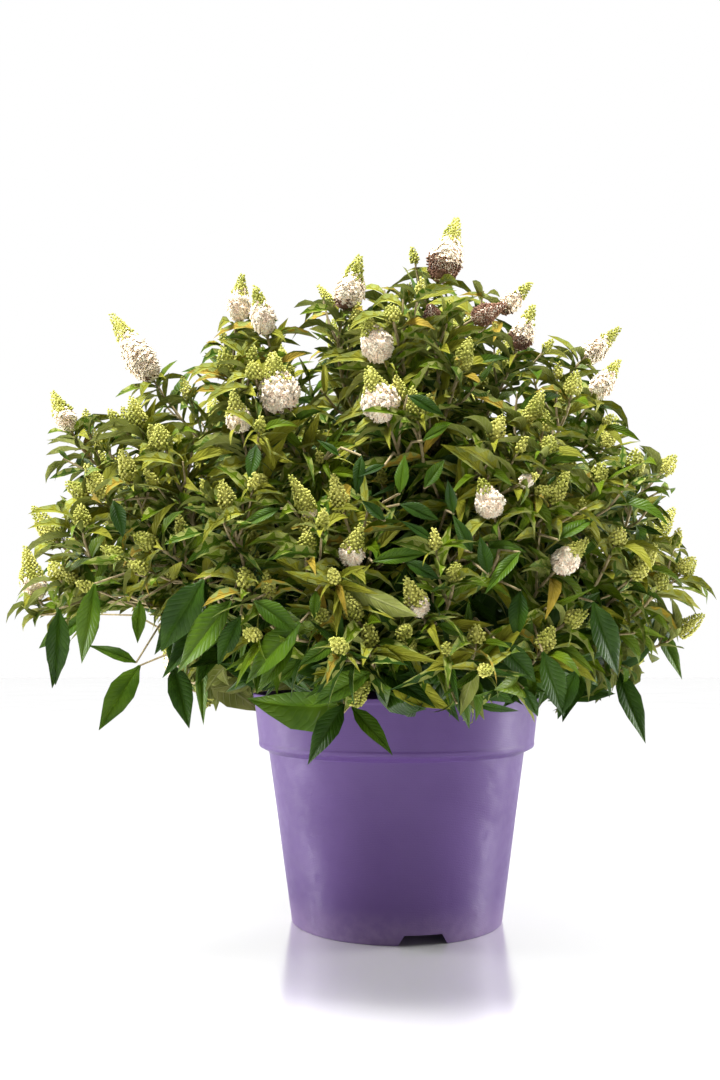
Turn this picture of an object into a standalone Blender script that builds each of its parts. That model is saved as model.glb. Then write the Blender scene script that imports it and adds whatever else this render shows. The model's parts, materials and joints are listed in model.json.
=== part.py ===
"""A dwarf butterfly bush in its round nursery pot, in metres, +Z up.

The origin is the centre of the pot's flat underside. A short stem stands in the soil and ends in a
knuckle, the fork. Every bough leaves the fork along the axis of one cone-shaped cell, and the mass of
shoots, leaves and panicles that it carries stays in that cell, so that no two solids touch.
"""

import math
import random
from dataclasses import dataclass

import bmesh
import bpy
from mathutils import Matrix, Vector
from mathutils.bvhtree import BVHTree

UP = Vector((0.0, 0.0, 1.0))
GAP = 0.0003
SEED = 9

# Pot: a five litre container, turned from a tapered body and a tall rim band
RIM_RADIUS = 0.115
POT_HEIGHT = 0.1762
BAND_FOOT_RADIUS = 0.1095
BAND_FOOT_HEIGHT = 0.136
BODY_TOP_RADIUS = 0.1019
BODY_TOP_HEIGHT = 0.1309
FOOT_RADIUS = 0.0828
WALL = 0.0014
LIP_WALL = 0.0022
CENTRE_RADIUS = 0.044
CHANNEL_TOP = 0.0078
CHANNEL_SLOPE = 0.002
EDGE_ROUND = 0.0012
POT_SEGMENTS = 36

# Drain slots in the foot ring, one of them just right of the front, and drain holes in the raised floor
SLOT_COUNT = 3
SLOT_AZIMUTH = math.radians(-78.5)
SLOT_HEIGHT = 0.0075
SLOT_WIDTHS = (0.037, 0.028)
HOLE_COUNT = 6
HOLE_RADIUS = 0.004

# Soil and the short stem that the foliage hides
SOIL_TOP = 0.160
SOIL_SEGMENTS = 24
FORK = Vector((0.0, 0.0, 0.188))
KNUCKLE_RADIUS = 0.0145
FLARE_RADIUS = 0.019
NECK_RADIUS = 0.0112
STEM_SEGMENTS = 14

# Outline of the panicle tips: a dome a little left of the pot's axis
CROWN_CENTRE = Vector((-0.031, 0.0, 0.266))
CROWN_HALF = Vector((0.265, 0.256, 0.280))
CROWN_POWER = 2.2
LOWEST_TIP = 0.205
LOWEST_TIP_JITTER = 0.02

# Boughs and the rings of masses, as (name, count, first azimuth, elevation, bough radii)
BOUGH_REACH = 0.115
BOUGH_BOW = 0.004
BOUGH_SIDES = 6
BOUGH_RINGS = 5
RINGS = (
    ("top", 1, -70.0, 86.0, (0.0033, 0.0024)),
    ("upper", 6, -82.5, 46.0, (0.0033, 0.0024)),
    ("lower", 8, -90.0, 11.0, (0.0036, 0.0026)),
)

# Inside a mass: its stem, the shoots that leave it, their leaves and panicles
STEM_REACH = 0.170
FIRST_FORK = 0.124
LAST_FORK = 0.160
STEM_SIDES = 5
TWIG_SIDES = 3
SHOOT_RADII = (0.0015, 0.0012)
LEAVING_SHARE = 0.7
SHOOT_PULL = 0.38
SHOOT_CLEARANCE = 0.003
NODE_LENGTH = 0.0045
CELL_MARGIN = 0.0006
BARE_CORE = 0.119
LATTICE_SHOOTS = 110
LATTICE_HEIGHTS = (-0.10, 0.98)
LATTICE_JITTER = 0.12
LATTICE_DEPTHS = (0.90, 1.0)
LATTICE_START = 0.218
SHOOT_SPACING = 0.050
PAIR_PLACES = (0.30, 0.58, 0.86)
THREE_LEAF_NODES = (0,)
LEAF_LENGTHS = (0.104, 0.070)
LEAF_JITTER = (0.85, 1.15)
LEAF_WIDTH_SHARE = 0.40
LEAF_MIDDLE = 0.46
LEAF_SAG = 0.12
LEAF_CURL = 0.35
LEAF_DROOP = (0.12, 0.38)
LOW_SHOOT_DROOP = 0.35
LOW_SHOOT_RISE = 0.6
LEAF_FORWARD = (0.3, 0.9)
LEAF_SPREAD = (0.3, 1.2)
LEAF_THICK_SHARE = 0.022
LEAF_SHRINKS = (1.0, 0.88, 0.76, 0.64)
LEAF_TRIES = 8
LOWEST_LEAF = 0.132
LEAF_TEST_START = 0.12
LEAF_ROOT_FACING = 0.4
LEAF_TEST_FACES = [(0, 1, 4, 3), (1, 2, 5, 4), (2, 0, 3, 5), (3, 4, 6), (4, 5, 6), (5, 3, 6)]
BUD_CONE = (0.027, 0.0062)
BUD_SIZES = (0.85, 1.25)
BUD_SWAY = 0.2
BUD_UPWARD = 0.75
BUD_OUTWARD = 0.55
BUD_STATIONS = ((0.0, 0.55), (0.35, 1.0))
SHOWY_STATIONS = ((0.0, 0.55), (0.25, 1.0), (0.6, 0.66))


@dataclass
class Mass:
    """A mass of foliage, its bough's direction and the bough's radii at both ends."""

    name: str
    axis: Vector
    radii: tuple


@dataclass
class Shoot:
    """A shoot's end: where its panicle starts and ends, its half width, and whether it blooms."""

    foot: Vector
    tip: Vector
    half_width: float
    showy: bool


class Placed:
    """A leaf, twig or panicle that is already there, to be kept clear of."""

    def __init__(self, points, faces):
        """Keeps the shape and the ball around it."""
        self.middle = sum(points, Vector()) / len(points)
        self.reach = max((point - self.middle).length for point in points)
        self.shape = BVHTree.FromPolygons(points, faces)

    def meets(self, other):
        """Whether the two shapes cross."""
        if (self.middle - other.middle).length > self.reach + other.reach:
            return False
        return bool(self.shape.overlap(other.shape))


# The showy panicles of the front and the skyline, as read from the photograph:
# foot (x, z) and tip (x, z), with the half width; the dome's front gives the depth
SHOWY = (
    ((-0.185, 0.409), (-0.215, 0.460), 0.0150),
    ((-0.111, 0.428), (-0.107, 0.462), 0.0115),
    ((-0.091, 0.413), (-0.096, 0.446), 0.0115),
    ((-0.041, 0.436), (-0.029, 0.473), 0.0135),
    ((-0.079, 0.352), (-0.083, 0.393), 0.0160),
    ((-0.102, 0.341), (-0.107, 0.370), 0.0110),
    ((-0.245, 0.370), (-0.256, 0.402), 0.0110),
    ((0.030, 0.480), (0.043, 0.530), 0.0150),
    ((0.054, 0.437), (0.088, 0.462), 0.0125),
    ((0.074, 0.407), (0.085, 0.440), 0.0125),
    ((0.135, 0.426), (0.164, 0.449), 0.0115),
    ((0.131, 0.382), (0.149, 0.410), 0.0115),
    ((-0.016, 0.391), (-0.027, 0.420), 0.0130),
    ((-0.016, 0.348), (-0.025, 0.380), 0.0155),
    ((-0.250, 0.259), (-0.262, 0.285), 0.0110),
    ((-0.053, 0.288), (-0.072, 0.316), 0.0100),
    ((-0.038, 0.260), (-0.028, 0.287), 0.0110),
    ((0.050, 0.288), (0.041, 0.313), 0.0120),
    ((0.089, 0.259), (0.109, 0.280), 0.0110),
    ((0.007, 0.228), (-0.002, 0.253), 0.0100),
)

# The panicles in bud that show among them, also as foot (x, z) and tip (x, z)
IN_BUD = (
    ((0.004, 0.349), (0.003, 0.367)),
    ((0.031, 0.385), (0.040, 0.405)),
    ((0.069, 0.387), (0.077, 0.399)),
    ((0.074, 0.351), (0.084, 0.372)),
    ((0.051, 0.337), (0.058, 0.353)),
    ((0.081, 0.331), (0.088, 0.341)),
    ((-0.170, 0.346), (-0.176, 0.371)),
    ((-0.150, 0.332), (-0.154, 0.350)),
    ((-0.111, 0.383), (-0.115, 0.399)),
    ((-0.095, 0.374), (-0.096, 0.386)),
    ((-0.194, 0.307), (-0.206, 0.330)),
    ((-0.171, 0.315), (-0.180, 0.333)),
    ((-0.209, 0.308), (-0.221, 0.318)),
    ((-0.149, 0.301), (-0.157, 0.310)),
    ((-0.152, 0.272), (-0.167, 0.280)),
    ((-0.106, 0.293), (-0.109, 0.309)),
    ((-0.059, 0.267), (-0.060, 0.278)),
    ((-0.094, 0.246), (-0.095, 0.257)),
    ((-0.029, 0.226), (-0.041, 0.245)),
    ((0.089, 0.300), (0.098, 0.318)),
    ((0.118, 0.318), (0.124, 0.329)),
    ((0.178, 0.332), (0.190, 0.345)),
    ((0.128, 0.276), (0.135, 0.286)),
    ((0.151, 0.262), (0.162, 0.281)),
    ((0.195, 0.264), (0.204, 0.275)),
    ((0.025, 0.250), (0.027, 0.261)),
    ((-0.023, 0.209), (-0.027, 0.225)),
    ((0.038, 0.214), (0.037, 0.225)),
    ((0.096, 0.224), (0.109, 0.234)),
    ((0.075, 0.206), (0.089, 0.225)),
    ((0.198, 0.220), (0.219, 0.236)),
    ((0.133, 0.355), (0.136, 0.363)),
    ((-0.038, 0.292), (-0.045, 0.312)),
)
IN_BUD_SPACING = 0.032
SKYLINE_DEPTH = -0.100
PLACED_LEAN_OUT = 0.35


def polar(azimuth, elevation):
    """The unit vector at an azimuth and an elevation in degrees, where azimuth -90 is the front."""
    a, e = math.radians(azimuth), math.radians(elevation)
    return Vector((math.cos(e) * math.cos(a), math.cos(e) * math.sin(a), math.sin(e)))


def material(name, colour, roughness, metallic=0.0):
    """A Principled material with one colour."""
    made = bpy.data.materials.new(name)
    made.use_nodes = True
    shader = made.node_tree.nodes["Principled BSDF"]
    shader.inputs["Base Color"].default_value = (*colour, 1.0)
    shader.inputs["Roughness"].default_value = roughness
    shader.inputs["Metallic"].default_value = metallic
    made.diffuse_color = (*colour, 1.0)
    return made


def add_object(name, points, faces, finish, collection=None):
    """An object of its own mesh, linked to the scene or to a collection of parts to be joined."""
    mesh = bpy.data.meshes.new(name)
    mesh.from_pydata([tuple(p) for p in points], [], faces)
    mesh.materials.append(finish)
    mesh.update()
    made = bpy.data.objects.new(name, mesh)
    (collection or bpy.context.scene.collection).objects.link(made)
    return made


def apply_boolean(target, operation, solver, other=None, collection=None):
    """Cuts or joins and keeps the result as the target's own mesh."""
    modifier = target.modifiers.new("join", "BOOLEAN")
    modifier.operation = operation
    modifier.solver = solver
    if collection:
        modifier.operand_type = "COLLECTION"
        modifier.collection = collection
    else:
        modifier.object = other
    graph = bpy.context.evaluated_depsgraph_get()
    result = bpy.data.meshes.new_from_object(target.evaluated_get(graph))
    target.modifiers.clear()
    target.data = result


def turned(name, profile, segments, finish):
    """A closed solid of revolution about Z from (radius, height) points that end on the axis."""
    points, rings, faces = [], [], []
    for radius, height in profile:
        if radius == 0.0:
            rings.append([len(points)] * segments)
            points.append((0.0, 0.0, height))
            continue
        rings.append(list(range(len(points), len(points) + segments)))
        for step in range(segments):
            turn = 2 * math.pi * step / segments
            points.append((radius * math.cos(turn), radius * math.sin(turn), height))
    for lower, upper in zip(rings, rings[1:]):
        for step in range(segments):
            after = (step + 1) % segments
            corners = [lower[step], lower[after], upper[after], upper[step]]
            faces.append([c for i, c in enumerate(corners) if c not in corners[:i]])
    return add_object(name, points, faces, finish)


def tube_mesh(path, radii, sides, phase=0.0):
    """Points and faces of a capped tube that tapers along a path."""
    points, faces = [], []
    tangents = [(b - a).normalized() for a, b in zip(path, path[1:])]
    tangents.append(tangents[-1])
    across = tangents[0].orthogonal().normalized()
    across.rotate(Matrix.Rotation(phase, 3, tangents[0]))
    for centre, radius, tangent in zip(path, radii, tangents):
        across = (across - tangent * across.dot(tangent)).normalized()
        other = tangent.cross(across)
        for step in range(sides):
            turn = 2 * math.pi * step / sides
            points.append(centre + (across * math.cos(turn) + other * math.sin(turn)) * radius)
    for ring in range(len(path) - 1):
        for step in range(sides):
            a, b = ring * sides + step, ring * sides + (step + 1) % sides
            faces.append([a, b, b + sides, a + sides])
    last = (len(path) - 1) * sides
    faces.append(list(range(sides))[::-1])
    faces.append(list(range(last, last + sides)))
    return points, faces


def add_panicle(points, faces, shoot):
    """Carries a twig on into its panicle, full where it blooms and slim where it is in bud."""
    stations = SHOWY_STATIONS if shoot.showy else BUD_STATIONS
    sides = 2 * TWIG_SIDES
    axis = (shoot.tip - shoot.foot).normalized()
    end = list(range(len(points) - TWIG_SIDES, len(points)))
    across = points[end[0]] - sum((points[i] for i in end), Vector()) / TWIG_SIDES
    across = (across - axis * across.dot(axis)).normalized()
    other = axis.cross(across)
    own, own_faces = [], []
    for place, share in stations:
        centre = shoot.foot.lerp(shoot.tip, place)
        for step in range(sides):
            turn = 2 * math.pi * step / sides
            spoke = across * math.cos(turn) + other * math.sin(turn)
            own.append(centre + spoke * (shoot.half_width * share))
    own.append(shoot.tip)
    for ring in range(0, (len(stations) - 1) * sides, sides):
        for step in range(sides):
            a, b = ring + step, ring + (step + 1) % sides
            own_faces.append((a, b, b + sides, a + sides))
    last = (len(stations) - 1) * sides
    for step in range(sides):
        own_faces.append((last + step, last + (step + 1) % sides, last + sides))
    first = len(points)
    points.extend(own)
    faces.extend(tuple(first + i for i in face) for face in own_faces)
    for step in range(TWIG_SIDES):
        after = (step + 1) % TWIG_SIDES
        left, middle, right = (first + (2 * step + k) % sides for k in range(3))
        faces += [(end[step], middle, left), (end[step], end[after], middle), (end[after], right, middle)]
    return Placed(own, [*own_faces, tuple(range(sides))[::-1]])


def leaf_points(root, direction, length, droop):
    """Left margin, keel, right margin and tip of a lance-shaped leaf that bends down from its root."""
    side = direction.cross(UP)
    side = side.normalized() if side.length > 0.05 else direction.orthogonal().normalized()
    middle = root + direction * (LEAF_MIDDLE * length) - UP * (LEAF_SAG * droop * length)
    tip = root + direction * ((1.0 - LEAF_CURL * droop) * length) - UP * (droop * length)
    below = side.cross(tip - root).normalized()
    below *= -math.copysign(1.0, below.z)
    half_width = side * (LEAF_WIDTH_SHARE * length / 2)
    keel = middle + below * (LEAF_THICK_SHARE * length)
    return [middle - half_width, keel, middle + half_width, tip]


def crown_level(point):
    """Under 1 inside the outline of the panicle tips, over 1 outside it."""
    offset = point - CROWN_CENTRE
    return sum((abs(o) / h) ** CROWN_POWER for o, h in zip(offset, CROWN_HALF))


def crown_reach(start, direction):
    """How far the outline is from a point inside it, along a direction."""
    near, far = 0.0, 1.0
    for _ in range(30):
        middle = (near + far) / 2
        if crown_level(start + direction * middle) < 1.0:
            near = middle
        else:
            far = middle
    return near


def front_depth(x, z):
    """The y of the outline's front at a place in the front elevation, or the skyline's depth outside it."""
    across = (abs(x - CROWN_CENTRE.x) / CROWN_HALF.x) ** CROWN_POWER
    height = (abs(z - CROWN_CENTRE.z) / CROWN_HALF.z) ** CROWN_POWER
    left = 1.0 - across - height
    if left <= 0.0:
        return SKYLINE_DEPTH
    return min(SKYLINE_DEPTH, -CROWN_HALF.y * left ** (1 / CROWN_POWER))


def masses():
    """Every mass of the three rings, with its direction from the fork."""
    found = []
    for ring, count, first, elevation, radii in RINGS:
        for step in range(count):
            name = ring if count == 1 else f"{ring}_{step + 1}"
            found.append(Mass(name, polar(first + 360.0 * step / count, elevation), radii))
    return found


def mass_of(point, all_masses):
    """The mass in whose cell a point lies."""
    return max(all_masses, key=lambda mass: (point - FORK).dot(mass.axis))


def cell_clearance(point, mass, all_masses):
    """How far a point is inside a mass's cell; negative outside it."""
    offset = point - FORK
    walls = [mass.axis - other.axis for other in all_masses if other is not mass]
    return min(offset.dot(wall) / wall.length for wall in walls)


def drawn_in(shoot, mass, all_masses):
    """The shoot's end moved away from the cell's walls until its panicle stands clear of them."""
    need = shoot.half_width + 2 * CELL_MARGIN
    for point in (shoot.foot, shoot.tip):
        for other in all_masses:
            if other is mass:
                continue
            wall = (mass.axis - other.axis).normalized()
            short = need - (point - FORK).dot(wall)
            if short > 0.0:
                shoot.foot = shoot.foot + wall * short
                shoot.tip = shoot.tip + wall * short
    return shoot


def placed_shoot(foot_place, tip_place, half_width, showy):
    """A shoot whose panicle is read from the photograph, at the depth of the outline's front."""
    (foot_x, foot_z), (tip_x, tip_z) = foot_place, tip_place
    depth = front_depth(tip_x, tip_z)
    rise = math.hypot(tip_x - foot_x, tip_z - foot_z)
    foot_depth = depth * (1.0 - PLACED_LEAN_OUT * rise / CROWN_HALF.y)
    return Shoot(Vector((foot_x, foot_depth, foot_z)), Vector((tip_x, depth, tip_z)), half_width, showy)


def placed_shoots():
    """The shoots of the panicles that the photograph shows; those in bud stay clear of the others."""
    found = [placed_shoot(foot, tip, half_width, True) for foot, tip, half_width in SHOWY]
    for foot, tip in IN_BUD:
        shoot = placed_shoot(foot, tip, BUD_CONE[1], False)
        if all((shoot.tip - other.tip).length > IN_BUD_SPACING for other in found):
            found.append(shoot)
    return found


def lattice_shoots(rng, taken):
    """Shoots with bud cones spread evenly over the dome, where no other panicle is near."""
    found = []
    golden = math.pi * (3.0 - math.sqrt(5.0))
    for step in range(LATTICE_SHOOTS):
        place = (step + 0.5) / LATTICE_SHOOTS
        height = LATTICE_HEIGHTS[0] + (LATTICE_HEIGHTS[1] - LATTICE_HEIGHTS[0]) * place
        turn = golden * step + rng.uniform(-LATTICE_JITTER, LATTICE_JITTER)
        flat = math.sqrt(1.0 - height * height)
        direction = Vector((flat * math.cos(turn), flat * math.sin(turn), height))
        size = rng.uniform(*BUD_SIZES)
        depth = rng.uniform(*LATTICE_DEPTHS)
        lean = Vector((rng.uniform(-BUD_SWAY, BUD_SWAY), rng.uniform(-BUD_SWAY, BUD_SWAY), BUD_UPWARD))
        start = Vector((CROWN_CENTRE.x, 0.0, LATTICE_START))
        tip = start + direction * (crown_reach(start, direction) * depth)
        tip.z = max(tip.z, LOWEST_TIP + rng.uniform(0.0, LOWEST_TIP_JITTER))
        foot = tip - (direction * BUD_OUTWARD + lean).normalized() * (BUD_CONE[0] * size)
        if all((tip - other.tip).length > SHOOT_SPACING for other in taken + found):
            found.append(Shoot(foot, tip, BUD_CONE[1] * size, False))
    return found


def bezier(start, start_pull, end_pull, end, place):
    """A point on a cubic curve."""
    rest = 1.0 - place
    return (
        start * rest**3
        + start_pull * (3 * rest * rest * place)
        + end_pull * (3 * rest * place * place)
        + end * place**3
    )


def clear_of_pot(point):
    """Whether a point is outside the pot and above the soil, with a little room."""
    radius = math.hypot(point.x, point.y)
    return point.z > POT_HEIGHT + 0.004 or radius > RIM_RADIUS + 0.004


def leaf_fits(root, points, mass, all_masses, placed):
    """Whether a leaf keeps to its mass's space, off the bare core, the pot and what is already placed."""
    tip = points[3]
    if tip.z < LOWEST_LEAF:
        return False
    tested = points + [p.lerp(tip, 0.5) for p in points[:3]]
    for point in tested:
        if cell_clearance(point, mass, all_masses) < CELL_MARGIN or not clear_of_pot(point):
            return False
        if (point - FORK).length < BARE_CORE:
            return False
    near_root = [root.lerp(p, LEAF_TEST_START) for p in points[:3]]
    blade = Placed(near_root + points, LEAF_TEST_FACES)
    if any(blade.meets(other) for other in placed):
        return False
    placed.append(blade)
    return True


def grow_leaf(points, faces, quad, shape):
    """Replaces one triangle of a twig's side by a leaf: its root is that triangle, so they are one solid."""
    low, low_next, high_next, high = quad
    faces.remove(quad)
    faces.append((low, high_next, high))
    root = [low, low_next, high_next]
    start = sum((points[i] for i in root), Vector()) / 3
    ring = shape[:3]
    turned_out = (ring[1] - ring[0]).cross(ring[2] - ring[0]).dot(shape[3] - start)
    if turned_out < 0:
        ring = ring[::-1]
    turns = [ring[i:] + ring[:i] for i in range(3)]
    ring = min(turns, key=lambda turn: sum((points[r] - p).length for r, p in zip(root, turn)))
    first = len(points)
    points.extend([*ring, shape[3]])
    for i in range(3):
        after = (i + 1) % 3
        faces.append((root[i], root[after], first + after, first + i))
        faces.append((first + i, first + after, first + 3))


def add_leaves(points, faces, curve, mass, all_masses, placed, rng):
    """Opposite pairs of leaves along a shoot, each pair a quarter turn from the last, and a leaf between."""
    first_turn = rng.uniform(0.0, math.pi)
    for pair, place in enumerate(PAIR_PLACES):
        ring = (1 + 2 * pair) * TWIG_SIDES
        quads = [face for face in faces if len(face) == 4 and ring <= min(face) < ring + TWIG_SIDES]
        quads = [quad for quad in quads if max(quad) < ring + 2 * TWIG_SIDES]
        node = bezier(*curve, place)
        tangent = (bezier(*curve, place + 0.02) - node).normalized()
        across = tangent.orthogonal().normalized()
        across.rotate(Matrix.Rotation(first_turn + pair * math.pi / 2, 3, tangent))
        longest = LEAF_LENGTHS[0] + (LEAF_LENGTHS[1] - LEAF_LENGTHS[0]) * place
        sides = [0.0, math.pi]
        if pair in THREE_LEAF_NODES:
            sides.append(rng.choice((-1, 1)) * math.pi / 2)
        for side in sides:
            length = longest * rng.uniform(*LEAF_JITTER)
            droop = rng.uniform(*LEAF_DROOP) + LOW_SHOOT_DROOP * max(0.0, LOW_SHOOT_RISE - tangent.z)
            for step in range(LEAF_TRIES * len(LEAF_SHRINKS)):
                shrink = LEAF_SHRINKS[step // LEAF_TRIES]
                spread = LEAF_SPREAD[0] + (LEAF_SPREAD[1] - LEAF_SPREAD[0]) * (step % LEAF_TRIES) / LEAF_TRIES
                forward = rng.uniform(*LEAF_FORWARD)
                outward = across.copy()
                outward.rotate(Matrix.Rotation(side + rng.uniform(-spread, spread), 3, tangent))
                direction = (tangent * forward + outward).normalized()
                quad = max(quads, key=lambda q: quad_normal(points, q).dot(outward))
                shape = leaf_points(node, direction, length * shrink, droop)
                faces_out = quad_normal(points, quad).dot(outward) > LEAF_ROOT_FACING
                if faces_out and leaf_fits(node, shape, mass, all_masses, placed):
                    quads.remove(quad)
                    grow_leaf(points, faces, quad, shape)
                    break


def quad_normal(points, quad):
    """The outward normal of a twig's side."""
    return (points[quad[1]] - points[quad[0]]).cross(points[quad[2]] - points[quad[0]]).normalized()


def shoot_curve(shoot, fork_reach, mass):
    """The cubic curve from the mass's stem up into the foot of the panicle."""
    axis = (shoot.tip - shoot.foot).normalized()
    start = FORK + mass.axis * fork_reach
    pull = SHOOT_PULL * (shoot.foot - start).length
    leaving = mass.axis.lerp((shoot.foot - start).normalized(), LEAVING_SHARE).normalized()
    return start, start + leaving * pull, shoot.foot - axis * pull, shoot.foot


def twig_mesh(curve, rng):
    """Points and faces of a shoot's twig, open at its end, with a short stretch for each node of leaves."""
    half = NODE_LENGTH / 2 / (curve[3] - curve[0]).length
    places = [0.0]
    for place in PAIR_PLACES:
        places += [place - half, place + half]
    radii = [SHOOT_RADII[0] + (SHOOT_RADII[1] - SHOOT_RADII[0]) * place for place in places]
    path = [bezier(*curve, place) for place in places]
    points, faces = tube_mesh(path, radii, TWIG_SIDES, rng.uniform(0.0, 2.0))
    return points, faces[:-1]


def triangulate(target):
    """Splits every face into triangles and says whether each edge has two of them."""
    shape = bmesh.new()
    shape.from_mesh(target.data)
    bmesh.ops.triangulate(shape, faces=shape.faces[:])
    closed = all(len(edge.link_faces) == 2 for edge in shape.edges)
    shape.to_mesh(target.data)
    shape.free()
    return closed


def keep_largest_body(target):
    """Drops loose scraps, so that the node is one closed body."""
    mesh = target.data
    group = list(range(len(mesh.vertices)))

    def root(vertex):
        while group[vertex] != vertex:
            group[vertex] = group[group[vertex]]
            vertex = group[vertex]
        return vertex

    for edge in mesh.edges:
        first, second = root(edge.vertices[0]), root(edge.vertices[1])
        group[first] = second
    roots = [root(vertex) for vertex in range(len(mesh.vertices))]
    largest = max(set(roots), key=roots.count)
    kept = [vertex for vertex, own in enumerate(roots) if own == largest]
    if len(kept) == len(roots):
        return
    place = {vertex: index for index, vertex in enumerate(kept)}
    points = [mesh.vertices[vertex].co.copy() for vertex in kept]
    faces = [[place[v] for v in f.vertices] for f in mesh.polygons if f.vertices[0] in place]
    clean = bpy.data.meshes.new(target.name)
    clean.from_pydata(points, [], faces)
    for finish in mesh.materials:
        clean.materials.append(finish)
    target.data = clean


def build_mass(mass, shoots, all_masses, finishes, rng):
    """A mass: its stem, and the shoots, leaves and panicles joined to it as one solid."""
    parts = bpy.data.collections.new(f"parts_of_{mass.name}")
    bpy.context.scene.collection.children.link(parts)
    reaches = [BOUGH_REACH + GAP, FIRST_FORK, LAST_FORK, STEM_REACH]
    path = [FORK + mass.axis * reach for reach in reaches]
    thick = mass.radii[1]
    points, faces = tube_mesh(path, [thick, thick, thick, 0.7 * thick], STEM_SIDES)
    stem = add_object(f"{mass.name}_mass", points, faces, finishes["leaf"])
    ordered = sorted(shoots, key=lambda s: (s.tip - FORK).normalized().dot(mass.axis))
    placed, twigs = [Placed(points, faces)], []
    for step, shoot in enumerate(ordered):
        fork_reach = FIRST_FORK + (LAST_FORK - FIRST_FORK) * (step + 0.5) / len(ordered)
        curve = shoot_curve(shoot, fork_reach, mass)
        path = [bezier(*curve, (i + 1) / 8) for i in range(8)]
        if any(cell_clearance(point, mass, all_masses) < SHOOT_CLEARANCE for point in path):
            continue
        points, faces = twig_mesh(curve, rng)
        placed.append(Placed(points, faces))
        placed.append(add_panicle(points, faces, shoot))
        twigs.append((curve, points, faces))
    for curve, points, faces in twigs:
        add_leaves(points, faces, curve, mass, all_masses, placed, rng)
        triangulate(add_object("shoot", points, faces, finishes["leaf"], parts))
    apply_boolean(stem, "UNION", "MANIFOLD", collection=parts)
    for part in list(parts.objects):
        bpy.data.objects.remove(part)
    bpy.data.collections.remove(parts)
    keep_largest_body(stem)
    if not triangulate(stem):
        print(f"{mass.name}_mass has an edge without two faces")


def build_bough(mass, finish):
    """One tapering limb from the fork's knuckle to the mass, with a slight bow."""
    side = mass.axis.cross(UP) if mass.axis.z < 0.95 else Vector((1.0, 0.0, 0.0))
    side.normalize()
    path, radii = [], []
    for step in range(BOUGH_RINGS):
        place = step / (BOUGH_RINGS - 1)
        reach = KNUCKLE_RADIUS + GAP + (BOUGH_REACH - KNUCKLE_RADIUS - GAP) * place
        bow = side * (BOUGH_BOW * math.sin(math.pi * place) ** 2)
        path.append(FORK + mass.axis * reach + bow)
        radii.append(mass.radii[0] + (mass.radii[1] - mass.radii[0]) * place)
    points, faces = tube_mesh(path, radii, BOUGH_SIDES)
    made = add_object(f"{mass.name}_bough", points, faces, finish)
    made.data.shade_smooth()
    made.data.set_sharp_from_angle(angle=math.radians(50))
    return made


def build_stem(finish):
    """The short stem: a root flare cut flat at the soil, a neck and the knuckle that boughs leave."""
    base = SOIL_TOP + GAP
    profile = [(0.0, base), (FLARE_RADIUS, base)]
    profile += [(0.7 * FLARE_RADIUS, base + 0.004), (NECK_RADIUS, base + 0.010)]
    first = math.asin(NECK_RADIUS / KNUCKLE_RADIUS) - math.pi / 2
    for step in range(6):
        turn = first + (math.pi / 2 - first) * step / 6
        profile.append((KNUCKLE_RADIUS * math.cos(turn), FORK.z + KNUCKLE_RADIUS * math.sin(turn)))
    profile.append((0.0, FORK.z + KNUCKLE_RADIUS))
    made = turned("short_stem", profile, STEM_SEGMENTS, finish)
    made.data.shade_smooth()
    made.data.set_sharp_from_angle(angle=math.radians(50))
    return made


def inner_radius(height):
    """The radius of the pot's inner wall at a height."""
    stations = (
        (0.0, FOOT_RADIUS - WALL),
        (BODY_TOP_HEIGHT, BODY_TOP_RADIUS - WALL),
        (BAND_FOOT_HEIGHT, BAND_FOOT_RADIUS - WALL),
        (POT_HEIGHT, RIM_RADIUS - LIP_WALL),
    )
    for (low, low_radius), (high, high_radius) in zip(stations, stations[1:]):
        if height <= high:
            return low_radius + (high_radius - low_radius) * (height - low) / (high - low)
    return stations[-1][1]


def inside_profile(clearance):
    """The inside of the pot from the middle of its floor up to the rim band, kept clear by a gap."""
    floor = CHANNEL_TOP + WALL
    profile = [
        (0.0, WALL + clearance),
        (CENTRE_RADIUS - WALL - clearance, WALL + clearance),
        (CENTRE_RADIUS - WALL + CHANNEL_SLOPE - clearance, floor + clearance),
        (inner_radius(floor) - clearance, floor + clearance),
    ]
    for height in (BODY_TOP_HEIGHT, BAND_FOOT_HEIGHT):
        profile.append((inner_radius(height) - clearance, height))
    return profile


def build_pot(finish):
    """The pot: body, shoulder and rim band over a foot ring, with a raised floor around the flat middle."""
    foot_inside = FOOT_RADIUS - WALL - EDGE_ROUND
    profile = [
        (0.0, 0.0),
        (CENTRE_RADIUS, 0.0),
        (CENTRE_RADIUS + CHANNEL_SLOPE, CHANNEL_TOP),
        (foot_inside, CHANNEL_TOP),
        (foot_inside, 0.0),
        (FOOT_RADIUS - EDGE_ROUND, 0.0),
        (FOOT_RADIUS, EDGE_ROUND),
        (BODY_TOP_RADIUS, BODY_TOP_HEIGHT),
        (BAND_FOOT_RADIUS - EDGE_ROUND, BAND_FOOT_HEIGHT - EDGE_ROUND),
        (BAND_FOOT_RADIUS, BAND_FOOT_HEIGHT + 0.5 * EDGE_ROUND),
        (RIM_RADIUS, POT_HEIGHT - EDGE_ROUND),
        (RIM_RADIUS - 0.8 * EDGE_ROUND, POT_HEIGHT),
        (RIM_RADIUS - LIP_WALL, POT_HEIGHT),
        *inside_profile(0.0)[::-1],
    ]
    pot = turned("pot", profile, POT_SEGMENTS, finish)
    for step in range(SLOT_COUNT):
        cut_slot(pot, SLOT_AZIMUTH + 2 * math.pi * step / SLOT_COUNT, finish)
    for step in range(HOLE_COUNT):
        cut_hole(pot, SLOT_AZIMUTH + 2 * math.pi * (step + 0.5) / HOLE_COUNT, finish)
    pot.data.shade_smooth()
    pot.data.set_sharp_from_angle(angle=math.radians(30))
    return pot


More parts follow.
